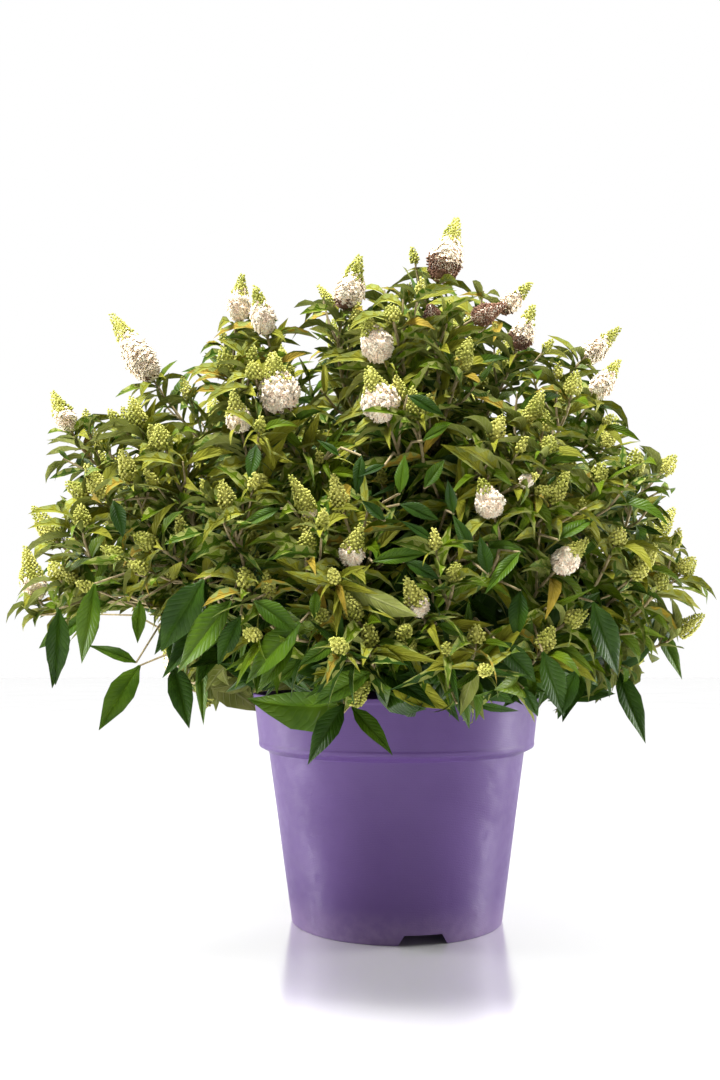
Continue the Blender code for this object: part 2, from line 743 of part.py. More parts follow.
def cut_slot(pot, azimuth, finish):
    """Cuts one drain slot, wider at its foot, through the foot ring."""
    inner, outer = FOOT_RADIUS - 0.010, FOOT_RADIUS + 0.010
    drop = 0.002
    spread = (SLOT_WIDTHS[0] - SLOT_WIDTHS[1]) / SLOT_HEIGHT * drop
    low, high = (SLOT_WIDTHS[0] + spread) / 2, SLOT_WIDTHS[1] / 2
    points = []
    for reach in (inner, outer):
        points += [(reach, -low, -drop), (reach, low, -drop)]
        points += [(reach, high, SLOT_HEIGHT), (reach, -high, SLOT_HEIGHT)]
    faces = [(3, 2, 1, 0), (4, 5, 6, 7), (0, 1, 5, 4), (1, 2, 6, 5), (2, 3, 7, 6), (3, 0, 4, 7)]
    turn = Matrix.Rotation(azimuth, 4, "Z")
    cutter = add_object("slot_cutter", [turn @ Vector(p) for p in points], faces, finish)
    apply_boolean(pot, "DIFFERENCE", "EXACT", other=cutter)
    bpy.data.objects.remove(cutter)


def cut_hole(pot, azimuth, finish):
    """Cuts one drain hole through the raised floor."""
    reach = (CENTRE_RADIUS + FOOT_RADIUS) / 2
    centre = Vector((reach * math.cos(azimuth), reach * math.sin(azimuth), 0.0))
    path = [centre + UP * (CHANNEL_TOP - WALL), centre + UP * (CHANNEL_TOP + 2 * WALL)]
    points, faces = tube_mesh(path, [HOLE_RADIUS, HOLE_RADIUS], 8)
    cutter = add_object("hole_cutter", points, faces, finish)
    apply_boolean(pot, "DIFFERENCE", "EXACT", other=cutter)
    bpy.data.objects.remove(cutter)


def build_soil(finish):
    """The root ball and its potting soil, which fill the pot to just under the rim."""
    profile = inside_profile(2 * GAP)
    profile.append((inner_radius(SOIL_TOP) - 2 * GAP, SOIL_TOP))
    profile.append((0.0, SOIL_TOP))
    return turned("soil", profile, SOIL_SEGMENTS, finish)


def clear_scene():
    """Removes the startup scene's objects."""
    for leftover in list(bpy.data.objects):
        bpy.data.objects.remove(leftover)


def main():
    """Builds the pot, the soil, the short stem, the boughs and the masses."""
    clear_scene()
    rng = random.Random(SEED)
    finishes = {
        "pot": material("pot_violet", (0.16, 0.10, 0.28), 0.35),
        "soil": material("soil_dark", (0.045, 0.03, 0.022), 0.95),
        "bark": material("bark_tan", (0.25, 0.18, 0.11), 0.85),
        "leaf": material("leaf_green", (0.07, 0.12, 0.02), 0.5),
        "bud": material("bud_lime", (0.42, 0.45, 0.10), 0.7),
        "blossom": material("blossom_white", (0.85, 0.78, 0.70), 0.7),
    }
    build_pot(finishes["pot"])
    build_soil(finishes["soil"])
    build_stem(finishes["bark"])
    all_masses = masses()
    placed = placed_shoots()
    shoots = placed + lattice_shoots(rng, placed)
    for mass in all_masses:
        build_bough(mass, finishes["bark"])
        own = [s for s in shoots if mass_of(s.foot, all_masses) is mass]
        drawn = [drawn_in(shoot, mass, all_masses) for shoot in own]
        build_mass(mass, drawn, all_masses, finishes, rng)


main()
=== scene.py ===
"""The looks of a dwarf butterfly bush in its nursery pot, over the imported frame, in metres, +Z up.

The pot, the soil and the woody base are meshes made from the source's sizes. The crown follows
the source's rule once more, and carries it on to side twigs, pairs of leaves and single florets.
"""

import json
import logging
import math
import random
from dataclasses import dataclass, field
from enum import Enum
from typing import ClassVar

import bpy
from mathutils import Matrix, Vector, noise
from mathutils.kdtree import KDTree

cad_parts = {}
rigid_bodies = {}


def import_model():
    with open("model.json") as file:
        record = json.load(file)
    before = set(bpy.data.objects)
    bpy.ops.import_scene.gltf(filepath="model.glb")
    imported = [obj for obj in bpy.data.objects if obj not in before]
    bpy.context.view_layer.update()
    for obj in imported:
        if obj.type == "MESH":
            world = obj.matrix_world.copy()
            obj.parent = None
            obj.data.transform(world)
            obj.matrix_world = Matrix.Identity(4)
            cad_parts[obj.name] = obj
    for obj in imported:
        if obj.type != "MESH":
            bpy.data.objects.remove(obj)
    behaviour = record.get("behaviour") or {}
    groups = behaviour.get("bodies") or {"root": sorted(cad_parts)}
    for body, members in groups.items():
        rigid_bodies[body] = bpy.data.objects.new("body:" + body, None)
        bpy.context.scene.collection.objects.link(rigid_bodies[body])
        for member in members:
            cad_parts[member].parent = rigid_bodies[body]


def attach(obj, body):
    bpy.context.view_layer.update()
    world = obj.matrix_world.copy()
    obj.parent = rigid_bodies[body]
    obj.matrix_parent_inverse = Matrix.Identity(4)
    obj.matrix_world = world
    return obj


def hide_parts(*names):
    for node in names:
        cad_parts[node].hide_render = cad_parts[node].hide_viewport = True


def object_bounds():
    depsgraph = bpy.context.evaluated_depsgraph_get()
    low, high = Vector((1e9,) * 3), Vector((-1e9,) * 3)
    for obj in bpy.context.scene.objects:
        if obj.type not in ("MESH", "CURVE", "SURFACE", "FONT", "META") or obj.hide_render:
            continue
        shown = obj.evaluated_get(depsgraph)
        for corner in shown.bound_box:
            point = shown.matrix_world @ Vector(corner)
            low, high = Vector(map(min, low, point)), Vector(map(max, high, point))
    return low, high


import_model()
CAD_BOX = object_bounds()

LOG = logging.getLogger("butterfly_bush")
UP = Vector((0.0, 0.0, 1.0))
GOLDEN_TURN = math.pi * (3.0 - math.sqrt(5.0))
GAP = 0.0003
PIECE_TRIANGLES = 180_000

# Where the front elevation is seen from, and the plane on which its outline is laid down
EYE = Vector((-0.029, -0.86, 0.2084))
OUTLINE_Y = -0.100

# Where the limbs part, and how far they reach from there
FORK = Vector((0.0, 0.0, 0.188))
KNUCKLE_RADIUS = 0.0145
BOUGH_REACH = 0.115
STEM_REACH = 0.170

Colour = tuple[float, float, float]
Place = tuple[float, float]
Curve = tuple[Vector, Vector, Vector, Vector]
Tree, Node, Socket = bpy.types.NodeTree, bpy.types.Node, bpy.types.NodeSocket
Mesh, Material, Object = bpy.types.Mesh, bpy.types.Material, bpy.types.Object


class Tint(Enum):
    """The leaf colours, dealt out by spray; the deeper ones carry painted shade and the paler ones
    painted light, besides the colours of old and young leaves.
    """

    DEEP = "deep"
    RICH = "rich"
    GREEN = "green"
    OLIVE = "olive"
    GILT = "gilt"


class Blade(Enum):
    """The two outlines of leaf."""

    BROAD = "broad"
    NARROW = "narrow"


class Floret(Enum):
    """The three ages of floret on a panicle."""

    BUD = "bud"
    OPEN = "open"
    SPENT = "spent"


def mix(first: float, second: float, share: float) -> float:
    """The value a share of the way from one number to another."""
    return first + (second - first) * share


def station(table: tuple[Place, ...], place: float) -> float:
    """Reads a table of (place, value) rows, in straight lines between the rows.

    Args:
        table: The rows, in order of place.
        place: Where to read it.

    Returns:
        The value there.
    """
    for (low, low_value), (high, high_value) in zip(table, table[1:]):
        if place <= high:
            return mix(low_value, high_value, max(0.0, (place - low) / (high - low)))
    return table[-1][1]


def polar(azimuth: float, elevation: float) -> Vector:
    """The unit vector at an azimuth and an elevation in degrees, where azimuth -90 is the front."""
    a, e = math.radians(azimuth), math.radians(elevation)
    return Vector((math.cos(e) * math.cos(a), math.cos(e) * math.sin(a), math.sin(e)))


def square_to(vector: Vector, axis: Vector) -> Vector:
    """The unit vector nearest to the given one that stands square to an axis."""
    flat = vector - axis * vector.dot(axis)
    return flat.normalized() if flat.length > 1e-5 else axis.orthogonal().normalized()


def turned(vector: Vector, axis: Vector, angle: float) -> Vector:
    """A copy of a vector, turned about an axis."""
    made = vector.copy()
    made.rotate(Matrix.Rotation(angle, 3, axis))
    return made


def spoke(axis: Vector, turn: float) -> Vector:
    """The unit vector that stands square to an axis, at a turn round it."""
    return turned(axis.orthogonal().normalized(), axis, turn)


def triangle_count(mesh: Mesh) -> int:
    """How many triangles a mesh has."""
    return sum(len(face.vertices) - 2 for face in mesh.polygons)


def new_mesh(name: str, points: list, faces: list) -> Mesh:
    """A mesh of its own from points and faces."""
    mesh = bpy.data.meshes.new(name)
    mesh.from_pydata([tuple(p) for p in points], [], faces)
    mesh.update()
    return mesh


def new_object(name: str, mesh: Mesh) -> Object:
    """An object in the scene that shows a mesh."""
    made = bpy.data.objects.new(name, mesh)
    bpy.context.scene.collection.objects.link(made)
    return made


def evaluated_mesh(source: Object) -> Mesh:
    """The plain mesh that an object's modifiers make."""
    graph = bpy.context.evaluated_depsgraph_get()
    return bpy.data.meshes.new_from_object(source.evaluated_get(graph))


def hand_over(piece: Object, nodes: list[str]) -> None:
    """Lets a finished piece ride on the plant's body and stand for its nodes.

    Args:
        piece: The finished object.
        nodes: The nodes that it stands for.
    """
    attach(piece, "root")
    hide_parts(*nodes)
    LOG.info("%s: %d triangles", piece.name, triangle_count(piece.data))


class Graph:
    """Wires a node tree: an input may be a value or another node's output."""

    def __init__(self, tree: Tree) -> None:
        """Keeps the tree."""
        self.tree = tree

    def node(self, kind: str, inputs: dict | None = None, **settings: object) -> Node:
        """Adds a node.

        Args:
            kind: The node's type.
            inputs: Values or outputs, by the socket's name or number.
            settings: The node's own properties.

        Returns:
            The new node.
        """
        made = self.tree.nodes.new(kind)
        for name, value in settings.items():
            setattr(made, name, value)
        for key, value in (inputs or {}).items():
            if isinstance(value, Socket):
                self.tree.links.new(value, made.inputs[key])
            else:
                made.inputs[key].default_value = value
        return made

    def math(self, operation: str, *values: object) -> Socket:
        """The result of a Math node."""
        inputs = dict(enumerate(values))
        return self.node("ShaderNodeMath", inputs, operation=operation).outputs[0]

    def ramp(
        self, value: object, low: float, high: float, first: float, last: float
    ) -> Socket:
        """A value whose range from low to high is spread smoothly from first to last.

        Args:
            value: The value to spread.
            low: Where its range starts.
            high: Where its range ends.
            first: The result at the start.
            last: The result at the end.

        Returns:
            The spread value.
        """
        inputs = {
            "Value": value, "From Min": low, "From Max": high, "To Min": first, "To Max": last
        }
        return self.node("ShaderNodeMapRange", inputs, interpolation_type="SMOOTHSTEP").outputs[0]

    def blend(self, share: object, first: object, second: object) -> Socket:
        """Two colours mixed by a share."""
        inputs = {0: share, 6: self.colour(first), 7: self.colour(second)}
        return self.node("ShaderNodeMix", inputs, data_type="RGBA").outputs[2]

    @staticmethod
    def colour(value: object) -> object:
        """A colour with its alpha, or a colour output as it is."""
        return value if isinstance(value, Socket) else (*value, 1.0)

    def coordinate(self, kind: str) -> Socket:
        """One of the kinds of texture coordinate."""
        return self.node("ShaderNodeTexCoord").outputs[kind]


class Patterns:
    """The shader node groups that several finishes share, each built once."""

    NOISE_RANGE = (0.3, 0.7)
    SIDE_VEIN = (0.74, 1.0)
    SIDE_VEIN_DEPTH = 0.7
    MIDRIB = (0.02, 0.13)
    FIELD_MARGIN = (0.02, 0.2)
    FIELD_POWER = 3.0

    def __init__(self) -> None:
        """Builds every group."""
        self.mottle = self._mottle()
        self.fibre = self._fibre()
        self.veins = self._veins()

    @staticmethod
    def _group(
        name: str, inputs: dict[str, float], outputs: tuple[str, ...]
    ) -> tuple[Graph, Node, Node]:
        """Starts a group with named inputs and outputs.

        Args:
            name: The group's name.
            inputs: Each input's name and usual value.
            outputs: The names of the outputs.

        Returns:
            The group's graph, its input node and its output node.
        """
        tree = bpy.data.node_groups.new(name, "ShaderNodeTree")
        kind = "NodeSocketFloat"
        for label, value in inputs.items():
            socket = tree.interface.new_socket(label, in_out="INPUT", socket_type=kind)
            socket.default_value = value
        for label in outputs:
            tree.interface.new_socket(label, in_out="OUTPUT", socket_type=kind)
        graph = Graph(tree)
        return graph, graph.node("NodeGroupInput"), graph.node("NodeGroupOutput")

    def _mottle(self) -> Tree:
        """Soft patches from 0 to 1, and fine specks for a bump."""
        graph, given, result = self._group(
            "mottle", {"Scale": 60.0, "Fine scale": 900.0}, ("Patch", "Speck")
        )
        place = graph.coordinate("Object")
        coarse = {"Vector": place, "Scale": given.outputs["Scale"], "Detail": 3.0}
        fine = {"Vector": place, "Scale": given.outputs["Fine scale"], "Detail": 2.0}
        patch = graph.node("ShaderNodeTexNoise", coarse).outputs["Fac"]
        speck = graph.node("ShaderNodeTexNoise", fine).outputs["Fac"]
        graph.tree.links.new(graph.ramp(patch, *self.NOISE_RANGE, 0.0, 1.0), result.inputs["Patch"])
        graph.tree.links.new(speck, result.inputs["Speck"])
        return graph.tree

    def _fibre(self) -> Tree:
        """Streaks drawn out along the height, as a mask and as a relief."""
        graph, given, result = self._group("fibre", {"Scale": 300.0, "Stretch": 8.0}, ("Streak",))
        place = graph.coordinate("Object")
        along = graph.math("DIVIDE", given.outputs["Scale"], given.outputs["Stretch"])
        scale = {0: given.outputs["Scale"], 1: given.outputs["Scale"], 2: along}
        spread = graph.node("ShaderNodeCombineXYZ", scale).outputs[0]
        drawn = graph.node(
            "ShaderNodeVectorMath", {0: place, 1: spread}, operation="MULTIPLY"
        ).outputs[0]
        streak = graph.node(
            "ShaderNodeTexNoise", {"Vector": drawn, "Scale": 1.0, "Detail": 4.0}
        ).outputs["Fac"]
        graph.tree.links.new(
            graph.ramp(streak, *self.NOISE_RANGE, 0.0, 1.0), result.inputs["Streak"]
        )
        return graph.tree

    def _veins(self) -> Tree:
        """A midrib and swept side veins from the leaf's own map, and the raised fields between."""
        graph, given, result = self._group(
            "leaf_veins", {"Pairs": 10.0, "Sweep": 2.2}, ("Vein", "Field")
        )
        parts = graph.node("ShaderNodeSeparateXYZ", {0: graph.coordinate("UV")})
        off_middle = graph.math("ABSOLUTE", graph.math("MULTIPLY_ADD", parts.outputs[0], 2.0, -1.0))
        sweep = graph.math("MULTIPLY", off_middle, given.outputs["Sweep"])
        rise = graph.math("MULTIPLY", parts.outputs[1], given.outputs["Pairs"])
        phase = graph.math("FRACT", graph.math("SUBTRACT", rise, sweep))
        from_field = graph.math("ABSOLUTE", graph.math("MULTIPLY_ADD", phase, 2.0, -1.0))
        side = graph.ramp(from_field, *self.SIDE_VEIN, 0.0, self.SIDE_VEIN_DEPTH)
        midrib = graph.ramp(off_middle, *self.MIDRIB, 1.0, 0.0)
        graph.tree.links.new(graph.math("MAXIMUM", side, midrib), result.inputs["Vein"])
        hump = graph.math("SUBTRACT", 1.0, graph.math("POWER", from_field, self.FIELD_POWER))
        beside = graph.ramp(off_middle, *self.FIELD_MARGIN, 0.0, 1.0)
        graph.tree.links.new(graph.math("MULTIPLY", hump, beside), result.inputs["Field"])
        return graph.tree


class Coat(Graph):
    """Wires one material over the shared patterns."""

    def __init__(self, tree: Tree, patterns: Patterns) -> None:
        """Keeps the tree and the patterns."""
        super().__init__(tree)
        self.patterns = patterns

    def pattern(self, group: Tree, inputs: dict[str, float]) -> object:
        """The outputs of a shared pattern, at this material's own values."""
        return self.node("ShaderNodeGroup", inputs, node_tree=group).outputs

    def mottled(self, scales: Place) -> tuple[object, object]:
        """The patches and the specks of the shared mottle, at the scales of both."""
        inputs = {"Scale": scales[0], "Fine scale": scales[1]}
        outputs = self.pattern(self.patterns.mottle, inputs)
        return outputs["Patch"], outputs["Speck"]


@dataclass(frozen=True)
class Finish:
    """A surface: its name, its two colours, its roughness and how deep its relief is."""

    name: str
    shade: Colour
    light: Colour
    roughness: float
    relief: float

    bump: ClassVar[float] = 0.8
    mottle: ClassVar[Place] = (60.0, 900.0)
    spread: ClassVar[float] = 0.07
    constants: ClassVar[dict[str, float]] = {}

    def make(self, patterns: Patterns) -> Material:
        """Builds the material.

        Args:
            patterns: The shared node groups.

        Returns:
            The finished material.
        """
        material = bpy.data.materials.new(self.name)
        material.use_nodes = True
        material.diffuse_color = (*self.light, 1.0)
        coat = Coat(material.node_tree, patterns)
        shader = material.node_tree.nodes["Principled BSDF"]
        for socket, value in self.constants.items():
            shader.inputs[socket].default_value = value
        colour, roughness, height = self.surface(coat)
        relief = {"Height": height, "Distance": self.relief, "Strength": self.bump}
        normal = coat.node("ShaderNodeBump", relief).outputs[0]
        wires = (("Base Color", colour), ("Roughness", roughness), ("Normal", normal))
        for socket, output in wires:
            coat.tree.links.new(output, shader.inputs[socket])
        return material

    def surface(self, coat: Coat) -> tuple[object, object, object]:
        """Wires soft patches of the two colours, with fine specks.

        Args:
            coat: The material's graph.

        Returns:
            The colour, the roughness and the height of the relief.
        """
        patch, speck = coat.mottled(self.mottle)
        return coat.blend(patch, self.shade, self.light), self.varied(coat, patch), speck

    def varied(self, coat: Coat, patch: object) -> Socket:
        """The roughness, a little lower and higher from patch to patch."""
        rough = self.roughness
        return coat.ramp(patch, 0.0, 1.0, rough + self.spread, rough - self.spread)


@dataclass(frozen=True)
class LeafFinish(Finish):
    """A leaf's face, with its network of veins paler than the fields between them."""

    vein: Colour = (0.3, 0.4, 0.2)
    pairs: float = 10.0
    vein_share: float = 0.35
    sunk: bool = True

    mottle: ClassVar[Place] = (45.0, 700.0)
    constants: ClassVar[dict[str, float]] = {"Specular IOR Level": 0.09}

    def surface(self, coat: Coat) -> tuple[object, object, object]:
        """Wires the fields, the veins and their relief.

        Args:
            coat: The material's graph.

        Returns:
            The colour, the roughness and the height of the relief.
        """
        patch, _ = coat.mottled(self.mottle)
        veins = coat.pattern(coat.patterns.veins, {"Pairs": self.pairs})
        fields = coat.blend(patch, self.shade, self.light)
        share = coat.math("MULTIPLY", veins["Vein"], self.vein_share)
        height = veins["Field" if self.sunk else "Vein"]
        return coat.blend(share, fields, self.vein), self.varied(coat, patch), height


@dataclass(frozen=True)
class FibreFinish(Finish):
    """Bark, or the felt of a young twig, streaked along its height."""

    scale: float = 300.0
    stretch: float = 7.0

    mottle: ClassVar[Place] = (90.0, 900.0)
    streak_share: ClassVar[float] = 0.6
    patch_share: ClassVar[float] = 0.4

    def surface(self, coat: Coat) -> tuple[object, object, object]:
        """Wires streaks over soft patches.

        Args:
            coat: The material's graph.

        Returns:
            The colour, the roughness and the height of the relief.
        """
        patch, _ = coat.mottled(self.mottle)
        drawn = {"Scale": self.scale, "Stretch": self.stretch}
        streak = coat.pattern(coat.patterns.fibre, drawn)["Streak"]
        streaky = coat.math("MULTIPLY", streak, self.streak_share)
        share = coat.math("MULTIPLY_ADD", patch, self.patch_share, streaky)
        return coat.blend(share, self.shade, self.light), self.varied(coat, patch), streak


@dataclass(frozen=True)
class PetalFinish(Finish):
    """An open floret, blushed in patches, with a small warm eye."""

    eye: Colour = (0.8, 0.35, 0.05)

    mottle: ClassVar[Place] = (240.0, 1500.0)
    eye_range: ClassVar[Place] = (0.6, 1.0)
    eye_depth: ClassVar[float] = 0.8
    constants: ClassVar[dict[str, float]] = {"Sheen Weight": 0.2}

    def surface(self, coat: Coat) -> tuple[object, object, object]:
        """Wires the blush and the eye.

        Args:
            coat: The material's graph.

        Returns:
            The colour, the roughness and the height of the relief.
        """
        patch, speck = coat.mottled(self.mottle)
        lobes = coat.blend(patch, self.shade, self.light)
        eye = coat.node("ShaderNodeAttribute", attribute_name="eye").outputs["Fac"]
        share = coat.ramp(eye, *self.eye_range, 0.0, self.eye_depth)
        return coat.blend(share, lobes, self.eye), self.varied(coat, patch), speck


@dataclass(frozen=True)
class PotFinish(Finish):
    """Moulded plastic with a satin skin, fine turned lines, dust near the foot and scuffs."""

    dust: Colour = (0.40, 0.30, 0.42)
    dust_height: float = 0.030
    dust_depth: float = 0.22
    scuff_depth: float = 0.08
    line_pitch: float = 5200.0
    line_depth: float = 0.12

    mottle: ClassVar[Place] = (14.0, 1400.0)
    scuffs: ClassVar[Place] = (120.0, 900.0)
    spread: ClassVar[float] = 0.03
    constants: ClassVar[dict[str, float]] = {"Specular IOR Level": 0.20}

    def surface(self, coat: Coat) -> tuple[object, object, object]:
        """Wires the tone, the dust, the scuffs and the turned lines.

        Args:
            coat: The material's graph.

        Returns:
            The colour, the roughness and the height of the relief.
        """
        patch, speck = coat.mottled(self.mottle)
        scuff, _ = coat.mottled(self.scuffs)
        place = coat.node("ShaderNodeSeparateXYZ", {0: coat.coordinate("Object")})
        height = place.outputs[2]
        foot = coat.ramp(height, 0.0, self.dust_height, self.dust_depth, 0.0)
        dusty = coat.math("MULTIPLY", foot, coat.math("MULTIPLY_ADD", scuff, 0.5, 0.5))
        tone = coat.blend(patch, self.shade, self.light)
        line = coat.math("SINE", coat.math("MULTIPLY", height, self.line_pitch))
        relief = coat.math("MULTIPLY_ADD", line, self.line_depth, speck)
        scuffed = coat.math("MULTIPLY", scuff, self.scuff_depth)
        rough = coat.math("ADD", self.varied(coat, patch), scuffed)
        return coat.blend(dusty, tone, self.dust), rough, relief


@dataclass(frozen=True)
class EarthFinish(Finish):
    """Peat soil in crumbs of two browns."""

    mottle: ClassVar[Place] = (230.0, 800.0)
    spread: ClassVar[float] = 0.04


class Finishes:
    """Every material of the part, made once."""

    VIOLET = PotFinish(
        "pot_violet_plastic", (0.069, 0.034, 0.133), (0.081, 0.042, 0.153), 0.40, 0.00012
    )
    EARTH = EarthFinish(
        "potting_peat", (0.012, 0.008, 0.006), (0.055, 0.036, 0.024), 0.93, 0.0012
    )
    BARK = FibreFinish(
        "old_bark", (0.10, 0.065, 0.038), (0.34, 0.25, 0.16), 0.85, 0.0010, 420.0, 9.0
    )
    FELT_STEM = FibreFinish(
        "young_stem_felt", (0.17, 0.125, 0.055), (0.38, 0.31, 0.16), 0.88, 0.0002, 900.0, 5.0
    )
    UNDERSIDE = LeafFinish(
        "leaf_underside_felt", (0.120, 0.145, 0.024), (0.25, 0.275, 0.070), 0.86, 0.0004,
        (0.33, 0.34, 0.15), 9.0, 0.5, False,
    )
    # The deep and rich greens go lower on the shoots and inside the crown, olive and gilt toward the
    # outer tips: besides leaf colour they carry painted shade and painted light
    LEAVES = {
        Tint.DEEP: LeafFinish(
            "leaf_deep_green", (0.009, 0.028, 0.002), (0.027, 0.064, 0.005), 0.38, 0.0003,
            (0.065, 0.115, 0.014), 13.0, 0.12,
        ),
        Tint.RICH: LeafFinish(
            "leaf_rich_green", (0.024, 0.058, 0.002), (0.058, 0.110, 0.006), 0.38, 0.0003,
            (0.12, 0.19, 0.020), 13.0, 0.12,
        ),
        Tint.GREEN: LeafFinish(
            "leaf_green", (0.043, 0.082, 0.002), (0.104, 0.156, 0.005), 0.40, 0.0003,
            (0.20, 0.25, 0.020), 11.0, 0.16,
        ),
        Tint.OLIVE: LeafFinish(
            "leaf_olive", (0.115, 0.126, 0.006), (0.25, 0.25, 0.022), 0.55, 0.0004,
            (0.38, 0.36, 0.07), 8.0, 0.20,
        ),
        Tint.GILT: LeafFinish(
            "leaf_gilt", (0.20, 0.145, 0.014), (0.34, 0.245, 0.028), 0.60, 0.0004,
            (0.42, 0.33, 0.07), 8.0, 0.20,
        ),
    }
    FLORETS = {
        Floret.BUD: Finish("panicle_bud", (0.25, 0.27, 0.025), (0.54, 0.52, 0.11), 0.72, 0.0002),
        Floret.OPEN: PetalFinish(
            "floret_blush_white", (0.96, 0.76, 0.57), (1.0, 0.93, 0.74), 0.62, 0.0001
        ),
        Floret.SPENT: Finish(
            "floret_spent", (0.080, 0.036, 0.020), (0.25, 0.120, 0.065), 0.85, 0.0003
        ),
    }

    def __init__(self) -> None:
        """Builds the materials over the shared patterns."""
        patterns = Patterns()
        self.violet = self.VIOLET.make(patterns)
        self.earth = self.EARTH.make(patterns)
        self.bark = self.BARK.make(patterns)
        self.felt_stem = self.FELT_STEM.make(patterns)
        self.underside = self.UNDERSIDE.make(patterns)
        self.leaves = {tint: finish.make(patterns) for tint, finish in self.LEAVES.items()}
        self.florets = {age: finish.make(patterns) for age, finish in self.FLORETS.items()}


class GrowTree:
    """A Geometry Nodes tree with named inputs, run once on an object to make a plain mesh."""

    def __init__(self, name: str, inputs: dict[str, str]) -> None:
        """Starts the tree.

        Args:
            name: The tree's name.
            inputs: The type of each input socket, by name.
        """
        tree = bpy.data.node_groups.new(name, "GeometryNodeTree")
        tree.interface.new_socket("Geometry", in_out="INPUT", socket_type="NodeSocketGeometry")
        tree.interface.new_socket("Geometry", in_out="OUTPUT", socket_type="NodeSocketGeometry")
        self.keys = {}
        for label, kind in inputs.items():
            self.keys[label] = tree.interface.new_socket(
                label, in_out="INPUT", socket_type=kind
            ).identifier
        self.graph = Graph(tree)
        self.given = self.graph.node("NodeGroupInput")

    def attribute(self, name: str, kind: str) -> Socket:
        """Reads a named attribute of the geometry."""
        return self.graph.node(
            "GeometryNodeInputNamedAttribute", {"Name": name}, data_type=kind
        ).outputs[0]

    def close(self, geometry: Socket) -> None:
        """Ends the tree in Realize Instances and Set Material."""
        real = self.graph.node("GeometryNodeRealizeInstances", {"Geometry": geometry}).outputs[0]
        coat = {"Geometry": real, "Material": self.given.outputs["Material"]}
        dressed = self.graph.node("GeometryNodeSetMaterial", coat).outputs[0]
        if "Under material" in self.keys:
            below = {"Geometry": dressed, "Selection": self.attribute("under", "BOOLEAN")}
            below["Material"] = self.given.outputs["Under material"]
            dressed = self.graph.node("GeometryNodeSetMaterial", below).outputs[0]
        self.graph.node("NodeGroupOutput", {0: dressed})

    def run(self, name: str, mesh: Mesh, values: dict[str, object]) -> Object:
        """Applies the tree to a mesh.

        Args:
            name: The new object's name.
            mesh: The mesh of points or lines to work on.
            values: The value of each input, by name.

        Returns:
            An object with the resulting plain mesh and no modifier.
        """
        made = new_object(name, mesh)
        modifier = made.modifiers.new("grow", "NODES")
        modifier.node_group = self.graph.tree
        for label, value in values.items():
            modifier[self.keys[label]] = value
        grown = evaluated_mesh(made)
        made.modifiers.remove(modifier)
        made.data = grown
        bpy.data.meshes.remove(mesh)
        grown.name = name
        return made


class ScatterTree(GrowTree):
    """Puts one of several small shapes on each point, by the point's turn, size and number."""

    def __init__(self) -> None:
        """Builds the tree."""
        sockets = {"Shapes": "NodeSocketCollection", "Material": "NodeSocketMaterial"}
        super().__init__("scatter_shapes", {**sockets, "Under material": "NodeSocketMaterial"})
        shapes = {
            "Collection": self.given.outputs["Shapes"],
            "Separate Children": True,
            "Reset Children": True,
        }
        placing = {
            "Points": self.given.outputs["Geometry"],
            "Instance": self.graph.node("GeometryNodeCollectionInfo", shapes).outputs[0],
            "Pick Instance": True,
            "Instance Index": self.attribute("shape", "INT"),
            "Scale": self.attribute("size", "FLOAT_VECTOR"),
        }
        turn = self.graph.node(
            "FunctionNodeEulerToRotation", {0: self.attribute("turn", "FLOAT_VECTOR")}
        )
        placing["Rotation"] = turn.outputs[0]
        self.close(self.graph.node("GeometryNodeInstanceOnPoints", placing).outputs[0])


class TwigTree(GrowTree):
    """Runs a round section along every line of a mesh, as thick as its points say."""

    def __init__(self) -> None:
        """Builds the tree."""
        super().__init__(
            "twigs_along_lines", {"Sides": "NodeSocketInt", "Material": "NodeSocketMaterial"}
        )
        line = self.graph.node(
            "GeometryNodeMeshToCurve", {0: self.given.outputs["Geometry"]}
        ).outputs[0]
        section = {"Resolution": self.given.outputs["Sides"], "Radius": 1.0}
        ring = self.graph.node("GeometryNodeCurvePrimitiveCircle", section, mode="RADIUS").outputs[
            0
        ]
        sweep = {"Curve": line, "Profile Curve": ring, "Fill Caps": True}
        sweep["Scale"] = self.attribute("thickness", "FLOAT")
        self.close(self.graph.node("GeometryNodeCurveToMesh", sweep).outputs[0])


